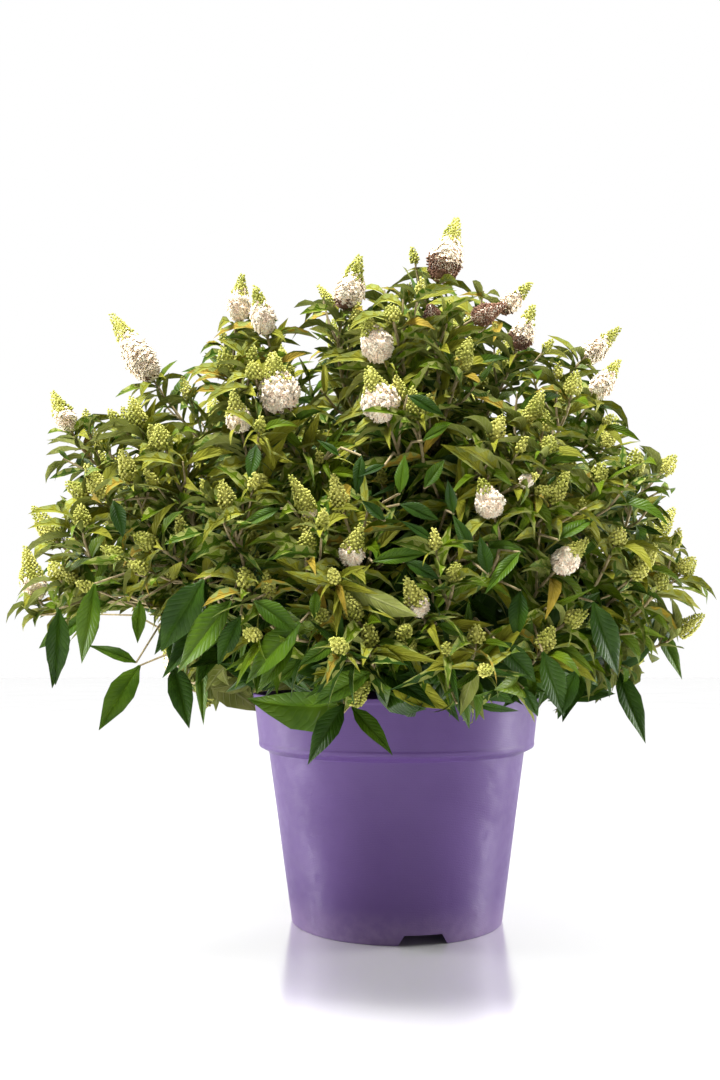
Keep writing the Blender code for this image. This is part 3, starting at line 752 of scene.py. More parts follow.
@dataclass
class Scatter:
    """A crowd of copies of a few small shapes, which becomes plain pieces of limited size."""

    name: str
    shapes: list[Mesh]
    coat: Material
    under: Material
    places: list[tuple] = field(default_factory=list)

    def add(self, root: Vector, ahead: Vector, normal: Vector, size: tuple, shape: int) -> None:
        """Places a copy.

        Args:
            root: Where its origin goes.
            ahead: Where its x axis points.
            normal: Where its z axis points, square to the x axis.
            size: Its scale along its three axes.
            shape: Which of the shapes it is.
        """
        turn = Matrix((ahead, normal.cross(ahead), normal)).transposed().to_euler("XYZ")
        self.places.append((root, turn, size, shape))

    def build(self, tree: ScatterTree) -> list[Object]:
        """Makes the pieces.

        Args:
            tree: The tree that puts shapes on points.

        Returns:
            One object or more, each under the limit of triangles.
        """
        if not self.places:
            return []
        holder = bpy.data.collections.new(f"{self.name}_shapes")
        bpy.context.scene.collection.children.link(holder)
        for number, mesh in enumerate(self.shapes):
            holder.objects.link(bpy.data.objects.new(f"{self.name}_shape_{number:02d}", mesh))
        largest = max(triangle_count(mesh) for mesh in self.shapes)
        count = math.ceil(len(self.places) * largest / PIECE_TRIANGLES)
        share = math.ceil(len(self.places) / count)
        made = []
        for step in range(count):
            part = self.places[step * share : (step + 1) * share]
            name = self.name if count == 1 else f"{self.name}_{step + 1}"
            values = {"Shapes": holder, "Material": self.coat, "Under material": self.under}
            made.append(tree.run(name, self._points(part), values))
        for sample in list(holder.objects):
            bpy.data.objects.remove(sample)
        bpy.data.collections.remove(holder)
        for mesh in self.shapes:
            bpy.data.meshes.remove(mesh)
        return made

    def _points(self, part: list[tuple]) -> Mesh:
        """A mesh of points that carry the turn, size and shape of each copy."""
        mesh = new_mesh(f"{self.name}_points", [place[0] for place in part], [])
        for column, label in ((1, "turn"), (2, "size")):
            values = [value for place in part for value in place[column]]
            mesh.attributes.new(label, "FLOAT_VECTOR", "POINT").data.foreach_set("vector", values)
        shapes = [place[3] for place in part]
        mesh.attributes.new("shape", "INT", "POINT").data.foreach_set("value", shapes)
        return mesh


@dataclass
class LeafShapes:
    """The few leaf meshes that are repeated, one unit long and wide, from the origin to +X."""

    OUTLINES: ClassVar[dict] = {
        Blade.BROAD: (
            (0.0, 0.05), (0.07, 0.13), (0.20, 0.37), (0.40, 0.50), (0.62, 0.41), (0.83, 0.18),
        ),
        Blade.NARROW: ((0.0, 0.09), (0.13, 0.32), (0.34, 0.50), (0.56, 0.42), (0.80, 0.20)),
    }
    BENDS: ClassVar[dict] = {
        Blade.BROAD: (0.25, 0.65, 1.05, 1.45),
        Blade.NARROW: (0.30, 0.80, 1.35, 1.90),
    }
    FOLDS: ClassVar[dict] = {Blade.BROAD: 0.13, Blade.NARROW: 0.10}
    STRIPS: ClassVar[dict] = {Blade.BROAD: 4, Blade.NARROW: 2}

    twists: tuple[float, ...] = (-0.30, 0.30)
    field_bulge: float = 0.035
    thickness: float = 0.011
    lift_share: float = 0.30

    def build(self, blade: Blade) -> list[Mesh]:
        """Every bend of one outline, in both twists."""
        return [
            self._leaf(blade, bend, twist) for bend in self.BENDS[blade] for twist in self.twists
        ]

    def tip(self, blade: Blade, shape: int) -> Place:
        """Where a shape's tip is, ahead and above, for a leaf of length one."""
        return self._spine(self.BENDS[blade][shape // len(self.twists)], 1.0)

    def _spine(self, bend: float, place: float) -> Place:
        """A point of the leaf's curved midrib, ahead and above."""
        start = self.lift_share * bend
        ahead = (math.sin(start) + math.sin(bend * place - start)) / bend
        above = (math.cos(bend * place - start) - math.cos(start)) / bend
        return ahead, above

    def _leaf(self, blade: Blade, bend: float, twist: float) -> Mesh:
        """A closed blade: a folded top, and a plain underside that meets it at the margin.

        Args:
            blade: Which outline.
            bend: How far the tip turns down, in radians.
            twist: How far the tip rolls over, in radians.

        Returns:
            The mesh, mapped across and along, with its underside marked.
        """
        strips = self.STRIPS[blade]
        across = [2 * step / strips - 1 for step in range(strips + 1)]
        points, coords, faces, under = [], [], [], []
        for place, half in self.OUTLINES[blade]:
            ahead, above = self._spine(bend, place)
            roll = twist * place
            ring = [(a * half, self._rise(a, half, self.FOLDS[blade])) for a in across]
            for side, height in [*ring, (0.0, -self.thickness)]:
                y = side * math.cos(roll) - height * math.sin(roll)
                z = side * math.sin(roll) + height * math.cos(roll)
                points.append((ahead, y, above + z))
                coords.append((0.5 + (side / (2 * half) if half else 0.0), place))
        size = strips + 2
        belly = strips + 1
        for row in range(len(self.OUTLINES[blade]) - 1):
            a, b = row * size, (row + 1) * size
            for step in range(strips):
                faces.append((a + step, b + step, b + step + 1, a + step + 1))
                under.append(False)
            faces.append((a + strips, b + strips, b + belly, a + belly))
            faces.append((a + belly, b + belly, b, a))
            under += [True, True]
        last, tip = (len(self.OUTLINES[blade]) - 1) * size, len(points)
        ahead, above = self._spine(bend, 1.0)
        points.append((ahead, 0.0, above))
        coords.append((0.5, 1.0))
        for step in range(strips):
            faces.append((last + step, tip, last + step + 1))
            under.append(False)
        faces += [(last + strips, tip, last + belly), (last + belly, tip, last), tuple(range(size))]
        under += [True, True, True]
        return self._mapped(blade.value, points, faces, coords, under, strips)

    def _rise(self, across: float, half: float, fold: float) -> float:
        """How far a point of the top stands above the midrib."""
        bulge = self.field_bulge * (1.0 - (2 * abs(across) - 1.0) ** 2) * half * 2
        return fold * abs(across) * half + bulge

    @staticmethod
    def _mapped(
        name: str, points: list, faces: list, coords: list, under: list, strips: int
    ) -> Mesh:
        """Adds the leaf's own map, the mark on its underside and the sharp margin.

        Args:
            name: The mesh's name.
            points: Its points.
            faces: Its faces.
            coords: The map of each point.
            under: Whether each face is on the underside.
            strips: How many strips the top has.

        Returns:
            The mesh.
        """
        mesh = new_mesh(name, points, faces)
        layer = mesh.uv_layers.new(name="UVMap")
        for loop in mesh.loops:
            layer.data[loop.index].uv = coords[loop.vertex_index]
        mesh.attributes.new("under", "BOOLEAN", "FACE").data.foreach_set("value", under)
        mesh.shade_smooth()
        size, tip = strips + 2, len(points) - 1
        for edge in mesh.edges:
            first, last = edge.vertices
            places = {vertex % size for vertex in (first, last) if vertex < tip}
            lengthwise = tip in (first, last) or abs(first - last) == size
            if places in ({0}, {strips // 2}, {strips}) and lengthwise:
                edge.use_edge_sharp = True
        return mesh


class FloretShapes:
    """The small meshes of a panicle, one unit long, rooted at the origin and facing +Z."""

    LOBES = 4
    BUD_SIDES = 4
    CORE_SIDES = 6
    CORE = ((0.02, 0.5), (0.3, 1.0), (0.6, 0.72), (0.85, 0.35))
    SPENT = ((0.3, 0.20), (0.6, 0.34))
    BUD_WIDTHS = (0.36, 0.46)
    CUPS = (0.10, -0.10)
    LEANS = (0.0, 0.8)
    THROAT = 0.42
    LOBE_FOOT = 0.52
    LOBE = ((-0.5, 0.24, 0.0), (-0.27, 0.56, 1.0), (0.27, 0.56, 1.3))

    def build(self, age: Floret) -> list[Mesh]:
        """Two shapes of one age of floret, and third the panicle's axis that they stand on."""
        if age is Floret.BUD:
            shapes = [self._bud(width) for width in self.BUD_WIDTHS]
        elif age is Floret.OPEN:
            shapes = [self._open(cup) for cup in self.CUPS]
        else:
            shapes = [self._spent(lean) for lean in self.LEANS]
        return [*shapes, self._spindle("core", self.CORE, 1.0, self.CORE_SIDES)]

    def _bud(self, width: float) -> Mesh:
        """A closed bud, fullest near its tip."""
        return self._spindle("bud", ((0.25, 0.7 * width), (0.72, width)), 1.0, self.BUD_SIDES)

    @staticmethod
    def _spindle(name: str, rings: tuple, high: float, sides: int) -> Mesh:
        """A closed spindle from the origin up, through rings whose odd ones are turned half a side.

        Args:
            name: The mesh's name.
            rings: The height and radius of each ring.
            high: The height of its tip.
            sides: How many sides it has.

        Returns:
            The mesh.
        """
        points, faces = [(0.0, 0.0, 0.0)], []
        for row, (height, radius) in enumerate(rings):
            for step in range(sides):
                turn = math.tau * (step + 0.5 * (row % 2)) / sides
                points.append((radius * math.cos(turn), radius * math.sin(turn), height))
        points.append((0.0, 0.0, high))
        top, last = len(points) - 1, 1 + (len(rings) - 1) * sides
        for step in range(sides):
            after = (step + 1) % sides
            faces.append((0, 1 + after, 1 + step))
            for row in range(len(rings) - 1):
                a = 1 + row * sides
                faces.append((a + step, a + after, a + sides + after, a + sides + step))
            faces.append((last + step, last + after, top))
        mesh = new_mesh(name, points, faces)
        mesh.shade_smooth()
        return mesh

    def _open(self, cup: float) -> Mesh:
        """A floret with four rounded lobes on a short funnel.

        Args:
            cup: How far the lobes rise.

        Returns:
            The mesh, with its eye marked.
        """
        points, faces = [(0.0, 0.0, self.THROAT), (0.0, 0.0, 0.0)], []
        for lobe in range(self.LOBES):
            for offset, radius, lift in self.LOBE:
                turn = math.tau * (lobe + offset) / self.LOBES
                height = self.LOBE_FOOT + cup * lift
                points.append((radius * math.cos(turn), radius * math.sin(turn), height))
        count = len(points) - 2
        for step in range(count):
            a, b = 2 + step, 2 + (step + 1) % count
            faces += [(0, a, b), (1, b, a)]
        mesh = new_mesh("open_floret", points, faces)
        eye = mesh.attributes.new("eye", "FLOAT", "POINT")
        eye.data.foreach_set("value", [1.0] + [0.0] * (len(points) - 1))
        mesh.shade_smooth()
        return mesh

    def _spent(self, lean: float) -> Mesh:
        """A withered floret, shrunk and leaning over."""
        mesh = self._spindle("spent", self.SPENT, 0.85, self.BUD_SIDES)
        for point in mesh.vertices:
            point.co.x += lean * 0.5 * point.co.z**2
            point.co *= 1.0 + 0.3 * noise.noise(point.co * 3.0)
        return mesh


@dataclass
class Mass:
    """A mass of foliage, its bough's direction and the bough's radii at both ends."""

    name: str
    axis: Vector
    radii: Place


@dataclass
class Shoot:
    """A shoot's panicle: its ends, its half width, and how far up it is open and faded."""

    foot: Vector
    tip: Vector
    half_width: float
    opened: float = 0.0
    faded: float = 0.0
    drawn_in: bool = False

    @property
    def showy(self) -> bool:
        """Whether any of its florets are open or spent."""
        return self.opened > 0.0


@dataclass
class CrownRule:
    """The source's rule: fifteen boughs from one fork, and a shoot to each panicle of a dome."""

    seed: int = 9
    centre: Vector = field(default_factory=lambda: Vector((-0.031, 0.0, 0.266)))
    half: Vector = field(default_factory=lambda: Vector((0.265, 0.256, 0.280)))
    power: float = 2.2
    rings: tuple = (
        ("top", 1, -70.0, 86.0, (0.0033, 0.0024)),
        ("upper", 6, -82.5, 46.0, (0.0033, 0.0024)),
        ("lower", 8, -90.0, 11.0, (0.0036, 0.0026)),
    )
    forks: Place = (0.124, 0.160)
    lowest_tip: float = 0.205
    lowest_tip_jitter: float = 0.02
    lattice_shoots: int = 110
    lattice_heights: Place = (-0.10, 0.98)
    lattice_jitter: float = 0.12
    lattice_depths: Place = (0.90, 1.0)
    lattice_start: float = 0.218
    shoot_spacing: float = 0.050
    seen_spacing: float = 0.026
    seen_depth: float = 0.06
    mark_share: float = 0.4
    leaving_share: float = 0.7
    shoot_pull: float = 0.38
    shoot_clearance: float = 0.003
    cell_margin: float = 0.0006
    bud_cone: Place = (0.027, 0.0062)
    bud_sizes: Place = (0.85, 1.25)
    bud_sway: float = 0.2
    bud_upward: float = 0.75
    bud_outward: float = 0.55
    lean_out: float = 0.35
    sight_steps: int = 6
    lifts: tuple = (0.0, 0.02, 0.04, 0.06)
    path_steps: int = 8
    hidden_steps: int = 2
    halvings: int = 30
    least_reach: float = 0.12
    reach_step: float = 0.97
    back_opened: float = 0.60
    back_showy_step: int = 4
    back_showy_cone: Place = (0.036, 0.0110)
    outline_slack: float = 0.004
    top_line: tuple = (
        (-0.290, 0.264), (-0.275, 0.286), (-0.266, 0.347), (-0.254, 0.392), (-0.221, 0.388),
        (-0.203, 0.405), (-0.185, 0.425), (-0.148, 0.433), (-0.126, 0.450), (-0.103, 0.465),
        (-0.088, 0.453), (-0.059, 0.477), (-0.040, 0.468), (-0.014, 0.479), (0.001, 0.494),
        (0.031, 0.507), (0.047, 0.488), (0.075, 0.471), (0.090, 0.454), (0.119, 0.435),
        (0.149, 0.443), (0.164, 0.390), (0.191, 0.347), (0.204, 0.304), (0.220, 0.246),
    )
    skirt_line: tuple = (
        (-0.289, 0.233), (-0.267, 0.223), (-0.244, 0.197), (-0.230, 0.215), (-0.215, 0.240),
        (-0.185, 0.246), (-0.165, 0.197), (-0.143, 0.175), (-0.118, 0.171), (-0.093, 0.171),
        (-0.060, 0.163), (-0.029, 0.170), (0.014, 0.170), (0.050, 0.160), (0.071, 0.168),
        (0.100, 0.163), (0.125, 0.175), (0.171, 0.182), (0.186, 0.202), (0.205, 0.210),
        (0.220, 0.233),
    )
    extra_shoots: tuple = (
        ((-0.036, -0.200, 0.176), (-0.023, -0.203, 0.192), 0.0058),
        ((0.006, -0.070, 0.478), (0.010, -0.071, 0.493), 0.0045),
        ((-0.050, -0.062, 0.478), (-0.062, -0.063, 0.494), 0.0035),
        ((-0.196, -0.100, 0.372), (-0.204, -0.101, 0.388), 0.0045),
        ((0.000, -0.012, 0.470), (0.000, -0.012, 0.502), 0.0075),
        ((0.046, -0.030, 0.462), (0.050, -0.031, 0.492), 0.0072),
        ((0.088, -0.016, 0.440), (0.094, -0.016, 0.470), 0.0075),
        ((-0.046, -0.024, 0.450), (-0.050, -0.024, 0.480), 0.0075),
        ((-0.090, -0.010, 0.432), (-0.096, -0.010, 0.462), 0.0075),
        ((0.024, 0.010, 0.450), (0.026, 0.010, 0.480), 0.0072),
        ((-0.022, 0.014, 0.448), (-0.024, 0.014, 0.478), 0.0072),
        ((0.132, -0.020, 0.400), (0.142, -0.022, 0.428), 0.0072),
        ((-0.136, -0.020, 0.396), (-0.146, -0.022, 0.424), 0.0072),
    )
    showy: tuple = (
        ((-0.181, 0.408), (-0.214, 0.459), 0.0117, 0, 0.66),
        ((-0.121, 0.453), (-0.117, 0.489), 0.0086, 0, 0.62),
        ((-0.098, 0.443), (-0.107, 0.480), 0.0092, 0, 0.62),
        ((-0.041, 0.462), (-0.029, 0.504), 0.0117, 0.14, 0.6),
        ((0.030, 0.483), (0.044, 0.533), 0.0129, 0.33, 0.64),
        ((0.075, 0.460), (0.099, 0.483), 0.0074, 0.15, 0.62),
        ((0.054, 0.454), (0.079, 0.466), 0.0078, 1.1, 1.0),
        ((0.087, 0.431), (0.100, 0.466), 0.0089, 0.3, 0.62),
        ((0.025, 0.454), (0.023, 0.466), 0.0060, 1.1, 1.0),
        ((0.135, 0.423), (0.164, 0.448), 0.0086, 0, 0.62),
        ((0.143, 0.395), (0.163, 0.424), 0.0080, 0, 0.62),
        ((-0.011, 0.423), (-0.027, 0.459), 0.0117, 0, 0.62),
        ((-0.086, 0.384), (-0.094, 0.429), 0.0153, 0, 0.6),
        ((-0.116, 0.369), (-0.123, 0.400), 0.0089, 0, 0.5),
        ((-0.009, 0.378), (-0.023, 0.418), 0.0141, 0, 0.6),
        ((-0.241, 0.370), (-0.256, 0.400), 0.0080, 0, 0.45),
        ((-0.262, 0.246), (-0.272, 0.285), 0.0092, 0, 0.4),
        ((-0.063, 0.306), (-0.080, 0.337), 0.0068, 0, 0.18),
        ((0.069, 0.307), (0.059, 0.335), 0.0105, 0, 0.7),
        ((-0.038, 0.271), (-0.028, 0.301), 0.0089, 0, 0.4),
        ((0.112, 0.267), (0.136, 0.290), 0.0098, 0, 0.6),
        ((0.016, 0.235), (0.004, 0.262), 0.0086, 0, 0.35),
        ((0.088, 0.331), (0.101, 0.338), 0.0050, 0, 0.6),
    )
    in_bud: tuple = (
        ((-0.126, 0.415), (-0.131, 0.434)), ((-0.190, 0.372), (-0.198, 0.396)),
        ((-0.171, 0.356), (-0.178, 0.376)), ((-0.196, 0.333), (-0.204, 0.357)),
        ((-0.215, 0.321), (-0.230, 0.346)), ((-0.227, 0.321), (-0.244, 0.332)),
        ((-0.231, 0.299), (-0.233, 0.316)), ((-0.177, 0.285), (-0.194, 0.294)),
        ((-0.246, 0.261), (-0.253, 0.274)), ((-0.124, 0.312), (-0.130, 0.333)),
        ((-0.041, 0.310), (-0.049, 0.338)), ((0.013, 0.379), (0.009, 0.403)),
        ((0.045, 0.417), (0.053, 0.441)), ((0.094, 0.375), (0.106, 0.401)),
        ((0.068, 0.363), (0.076, 0.382)), ((0.108, 0.355), (0.111, 0.367)),
        ((0.110, 0.316), (0.123, 0.340)), ((0.144, 0.333), (0.149, 0.347)),
        ((0.172, 0.338), (0.173, 0.357)), ((0.191, 0.339), (0.202, 0.352)),
        ((0.173, 0.269), (0.186, 0.287)), ((0.156, 0.286), (0.162, 0.299)),
        ((0.203, 0.265), (0.214, 0.277)), ((0.185, 0.254), (0.192, 0.267)),
        ((0.199, 0.221), (0.219, 0.236)), ((0.101, 0.210), (0.110, 0.227)),
        ((0.119, 0.229), (0.135, 0.238)), ((0.054, 0.215), (0.055, 0.228)),
        ((0.039, 0.260), (0.041, 0.273)), ((-0.110, 0.256), (-0.114, 0.269)),
        ((-0.068, 0.282), (-0.067, 0.296)), ((-0.030, 0.231), (-0.043, 0.254)),
        ((-0.022, 0.213), (-0.023, 0.230)), ((-0.106, 0.409), (-0.109, 0.423)),
        ((0.127, 0.397), (0.131, 0.415)), ((-0.004, 0.453), (-0.007, 0.466)),
    )

    def __post_init__(self) -> None:
        """Works out the masses and the shoots of each."""
        rng = random.Random(self.seed)
        self.masses = [
            Mass(f"{ring}_{step + 1}" if count > 1 else ring, polar(turn, elevation), radii)
            for ring, count, first, elevation, radii in self.rings
            for step, turn in ((step, first + 360.0 * step / count) for step in range(count))
        ]
        placed = self._placed_shoots()
        shoots = placed + self._lattice_shoots(rng, placed)
        self.curves = []
        for mass in self.masses:
            own = [s for s in shoots if self._mass_of(s.foot) is mass]
            own = [self._drawn_in(s, mass) if s.drawn_in else s for s in own]
            own.sort(key=lambda s: (s.tip - FORK).normalized().dot(mass.axis))
            for step, shoot in enumerate(own):
                for lift in self.lifts:
                    fork = mix(*self.forks, (step + 0.5) / len(own))
                    curve = self._curve(shoot, fork, mass, lift)
                    steps = range(1, self.path_steps + 1)
                    path = [bezier(curve, i / self.path_steps) for i in steps]
                    shown = path[self.hidden_steps :]
                    seen = shoot.tip.y > 0.0 or self._all_inside(shown)
                    if seen:
                        break
                clear = all(self.clearance(point, mass) >= self.shoot_clearance for point in path)
                if not shoot.drawn_in or (seen and clear):
                    self.curves.append((mass, shoot, curve))

    def mass_nodes(self) -> list[str]:
        """The names of the nodes that the crown's pieces stand for."""
        return [f"{mass.name}_mass" for mass in self.masses]

    def level(self, point: Vector) -> float:
        """Under 1 inside the outline of the panicle tips, over 1 outside it."""
        return sum((abs(o) / h) ** self.power for o, h in zip(point - self.centre, self.half))

    def clearance(self, point: Vector, mass: Mass) -> float:
        """How far a point is inside a mass's cell; negative outside it."""
        walls = [mass.axis - other.axis for other in self.masses if other is not mass]
        return min((point - FORK).dot(wall) / wall.length for wall in walls)

    @staticmethod
    def on_plane(point: Vector) -> Vector:
        """Where a point is seen on the outline's plane."""
        return EYE + (point - EYE) * ((OUTLINE_Y - EYE.y) / (point.y - EYE.y))

    def in_outline(self, point: Vector, slack: float) -> bool:
        """Whether a point is seen between the crown's skirt line and its top line.

        Args:
            point: The point.
            slack: How far outside the lines it may be.

        Returns:
            Whether it is.
        """
        seen = self.on_plane(point)
        low, high = station(self.skirt_line, seen.x), station(self.top_line, seen.x)
        return low - slack < seen.z < high + slack

    def _all_inside(self, points: list[Vector]) -> bool:
        """Whether all of some points are in the outline."""
        return all(self.in_outline(point, self.outline_slack) for point in points)

    def front_depth(self, x: float, z: float) -> float:
        """The y of the dome's front in the front elevation, and the outline's own beside the dome.

        Args:
            x: How far to the side.
            z: How far up.

        Returns:
            The y there.
        """
        across = (abs(x - self.centre.x) / self.half.x) ** self.power
        left = 1.0 - across - (abs(z - self.centre.z) / self.half.z) ** self.power
        if left <= 0.0:
            return OUTLINE_Y
        return min(OUTLINE_Y, -self.half.y * left ** (1 / self.power))

    def _mass_of(self, point: Vector) -> Mass:
        """The mass in whose cell a point lies."""
        return max(self.masses, key=lambda mass: (point - FORK).dot(mass.axis))

    def _reach(self, start: Vector, direction: Vector) -> float:
        """How far the dome is from a point inside it.

        Args:
            start: The point.
            direction: Where to go from there.

        Returns:
            The distance.
        """
        near, far = 0.0, 1.0
        for _ in range(self.halvings):
            middle = (near + far) / 2
            if self.level(start + direction * middle) < 1.0:
                near = middle
            else:
                far = middle
        return near

    def _drawn_in(self, shoot: Shoot, mass: Mass) -> Shoot:
        """Moves a shoot's end away from the cell's walls until its panicle stands clear of them.

        Args:
            shoot: The shoot, which is changed.
            mass: The mass whose cell it keeps to.

        Returns:
            The same shoot.
        """
        need = shoot.half_width + 2 * self.cell_margin
        for point in (shoot.foot, shoot.tip):
            for other in self.masses:
                if other is mass:
                    continue
                wall = (mass.axis - other.axis).normalized()
                short = need - (point - FORK).dot(wall)
                if short > 0.0:
                    shoot.foot = shoot.foot + wall * short
                    shoot.tip = shoot.tip + wall * short
        return shoot

    def _placed(
        self, foot: Place, tip: Place, half_width: float, opened: float = 0.0, faded: float = 0.0
    ) -> Shoot:
        """A shoot whose panicle has its own row, carried along its sight line to the dome.

        Args:
            foot: Where the panicle starts on the outline's plane.
            tip: Where it ends there.
            half_width: Its half width there.
            opened: How far up it is open.
            faded: How far up it is faded.

        Returns:
            The shoot.
        """
        end = self.on_dome(tip)
        rise = math.hypot(tip[0] - foot[0], tip[1] - foot[1])
        start = self.on_sight(foot, end.y * (1.0 - self.lean_out * rise / self.half.y))
        share = (end.y - EYE.y) / (OUTLINE_Y - EYE.y)
        return Shoot(start, end, half_width * share, opened, faded)

    @staticmethod
    def on_sight(place: Place, depth: float) -> Vector:
        """The point at a depth that is seen where a place of the outline's plane is."""
        mark = Vector((place[0], OUTLINE_Y, place[1]))
        return EYE + (mark - EYE) * ((depth - EYE.y) / (OUTLINE_Y - EYE.y))

    def on_dome(self, place: Place) -> Vector:
        """The point of the dome's front that is seen where a place of the outline's plane is."""
        point = self.on_sight(place, OUTLINE_Y)
        for _ in range(self.sight_steps):
            point = self.on_sight(place, self.front_depth(point.x, point.z))
        return point

    def _placed_shoots(self) -> list[Shoot]:
        """The shoots with rows of their own."""
        found = [
            self._placed(foot, tip, width, opened, faded)
            for foot, tip, width, faded, opened in self.showy
        ]
        found += [self._placed(foot, tip, self.bud_cone[1]) for foot, tip in self.in_bud]
        extra = self.extra_shoots
        return found + [Shoot(Vector(foot), Vector(tip), width) for foot, tip, width in extra]

    def _lattice_shoots(self, rng: random.Random, taken: list[Shoot]) -> list[Shoot]:
        """Shoots spread evenly over the dome, where no other panicle is near.

        Args:
            rng: The source of chance.
            taken: The shoots that stand already.

        Returns:
            The further shoots.
        """
        found = []
        for step in range(self.lattice_shoots):
            height = mix(*self.lattice_heights, (step + 0.5) / self.lattice_shoots)
            turn = GOLDEN_TURN * step + rng.uniform(-self.lattice_jitter, self.lattice_jitter)
            flat = math.sqrt(1.0 - height * height)
            direction = Vector((flat * math.cos(turn), flat * math.sin(turn), height))
            size = rng.uniform(*self.bud_sizes)
            depth = rng.uniform(*self.lattice_depths)
            sway = self.bud_sway
            lean = Vector((rng.uniform(-sway, sway), rng.uniform(-sway, sway), self.bud_upward))
            start = Vector((self.centre.x, 0.0, self.lattice_start))
            reach = self._reach(start, direction) * depth
            while not self.in_outline(start + direction * reach, 0.0) and reach > self.least_reach:
                reach *= self.reach_step
            tip = start + direction * reach
            tip.z = max(tip.z, self.lowest_tip + rng.uniform(0.0, self.lowest_tip_jitter))
            opened = self.back_opened if tip.y > 0.0 and step % self.back_showy_step == 1 else 0.0
            length, half_width = self.bud_cone[0] * size, self.bud_cone[1] * size
            if opened:
                length, half_width = self.back_showy_cone
            foot = tip - (direction * self.bud_outward + lean).normalized() * length
            spaced = all((tip - other.tip).length > self.shoot_spacing for other in taken + found)
            if tip.y < self.seen_depth:
                here = self.on_plane(tip)
                marks = [self.on_plane(s.foot.lerp(s.tip, self.mark_share)) for s in taken]
                spaced = spaced and all((here - mark).length > self.seen_spacing for mark in marks)
            if spaced and self.in_outline(tip, self.outline_slack):
                found.append(Shoot(foot, tip, half_width, opened, drawn_in=True))
        return found

    def _curve(self, shoot: Shoot, fork_reach: float, mass: Mass, lift: float) -> Curve:
        """The cubic curve from a mass's stem up into the foot of a panicle.

        Args:
            shoot: The shoot.
            fork_reach: How far out on the stem it leaves.
            mass: The mass.
            lift: How far its middle is lifted.

        Returns:
            The curve's four points.
        """
        axis = (shoot.tip - shoot.foot).normalized()
        start = FORK + mass.axis * fork_reach
        pull = self.shoot_pull * (shoot.foot - start).length
        leaving = mass.axis.lerp((shoot.foot - start).normalized(), self.leaving_share).normalized()
        end_pull = shoot.foot - axis * pull + UP * lift
        return start, start + leaving * pull + UP * lift, end_pull, shoot.foot


def bezier(curve: Curve, place: float) -> Vector:
    """A point on a cubic curve, from 0 at its start to 1 at its end."""
    start, start_pull, end_pull, end = curve
    rest = 1.0 - place
    return (
        start * rest**3
        + start_pull * (3 * rest * rest * place)
        + end_pull * (3 * rest * place * place)
        + end * place**3
    )


class Run:
    """A twig's line, read by the length along it."""

    def __init__(self, points: list[Vector]) -> None:
        """Measures the line."""
        self.points = points
        self.marks = [0.0]
        for a, b in zip(points, points[1:]):
            self.marks.append(self.marks[-1] + (b - a).length)
        self.length = self.marks[-1]

    def at(self, distance: float) -> tuple[Vector, Vector]:
        """A point of the line and its direction there.

        Args:
            distance: How far along the line.

        Returns:
            The point and the unit direction.
        """
        for step in range(len(self.points) - 1):
            if distance <= self.marks[step + 1] or step == len(self.points) - 2:
                a, b = self.points[step], self.points[step + 1]
                share = (distance - self.marks[step]) / (self.marks[step + 1] - self.marks[step])
                return a.lerp(b, share), (b - a).normalized()
        return self.points[-1], UP


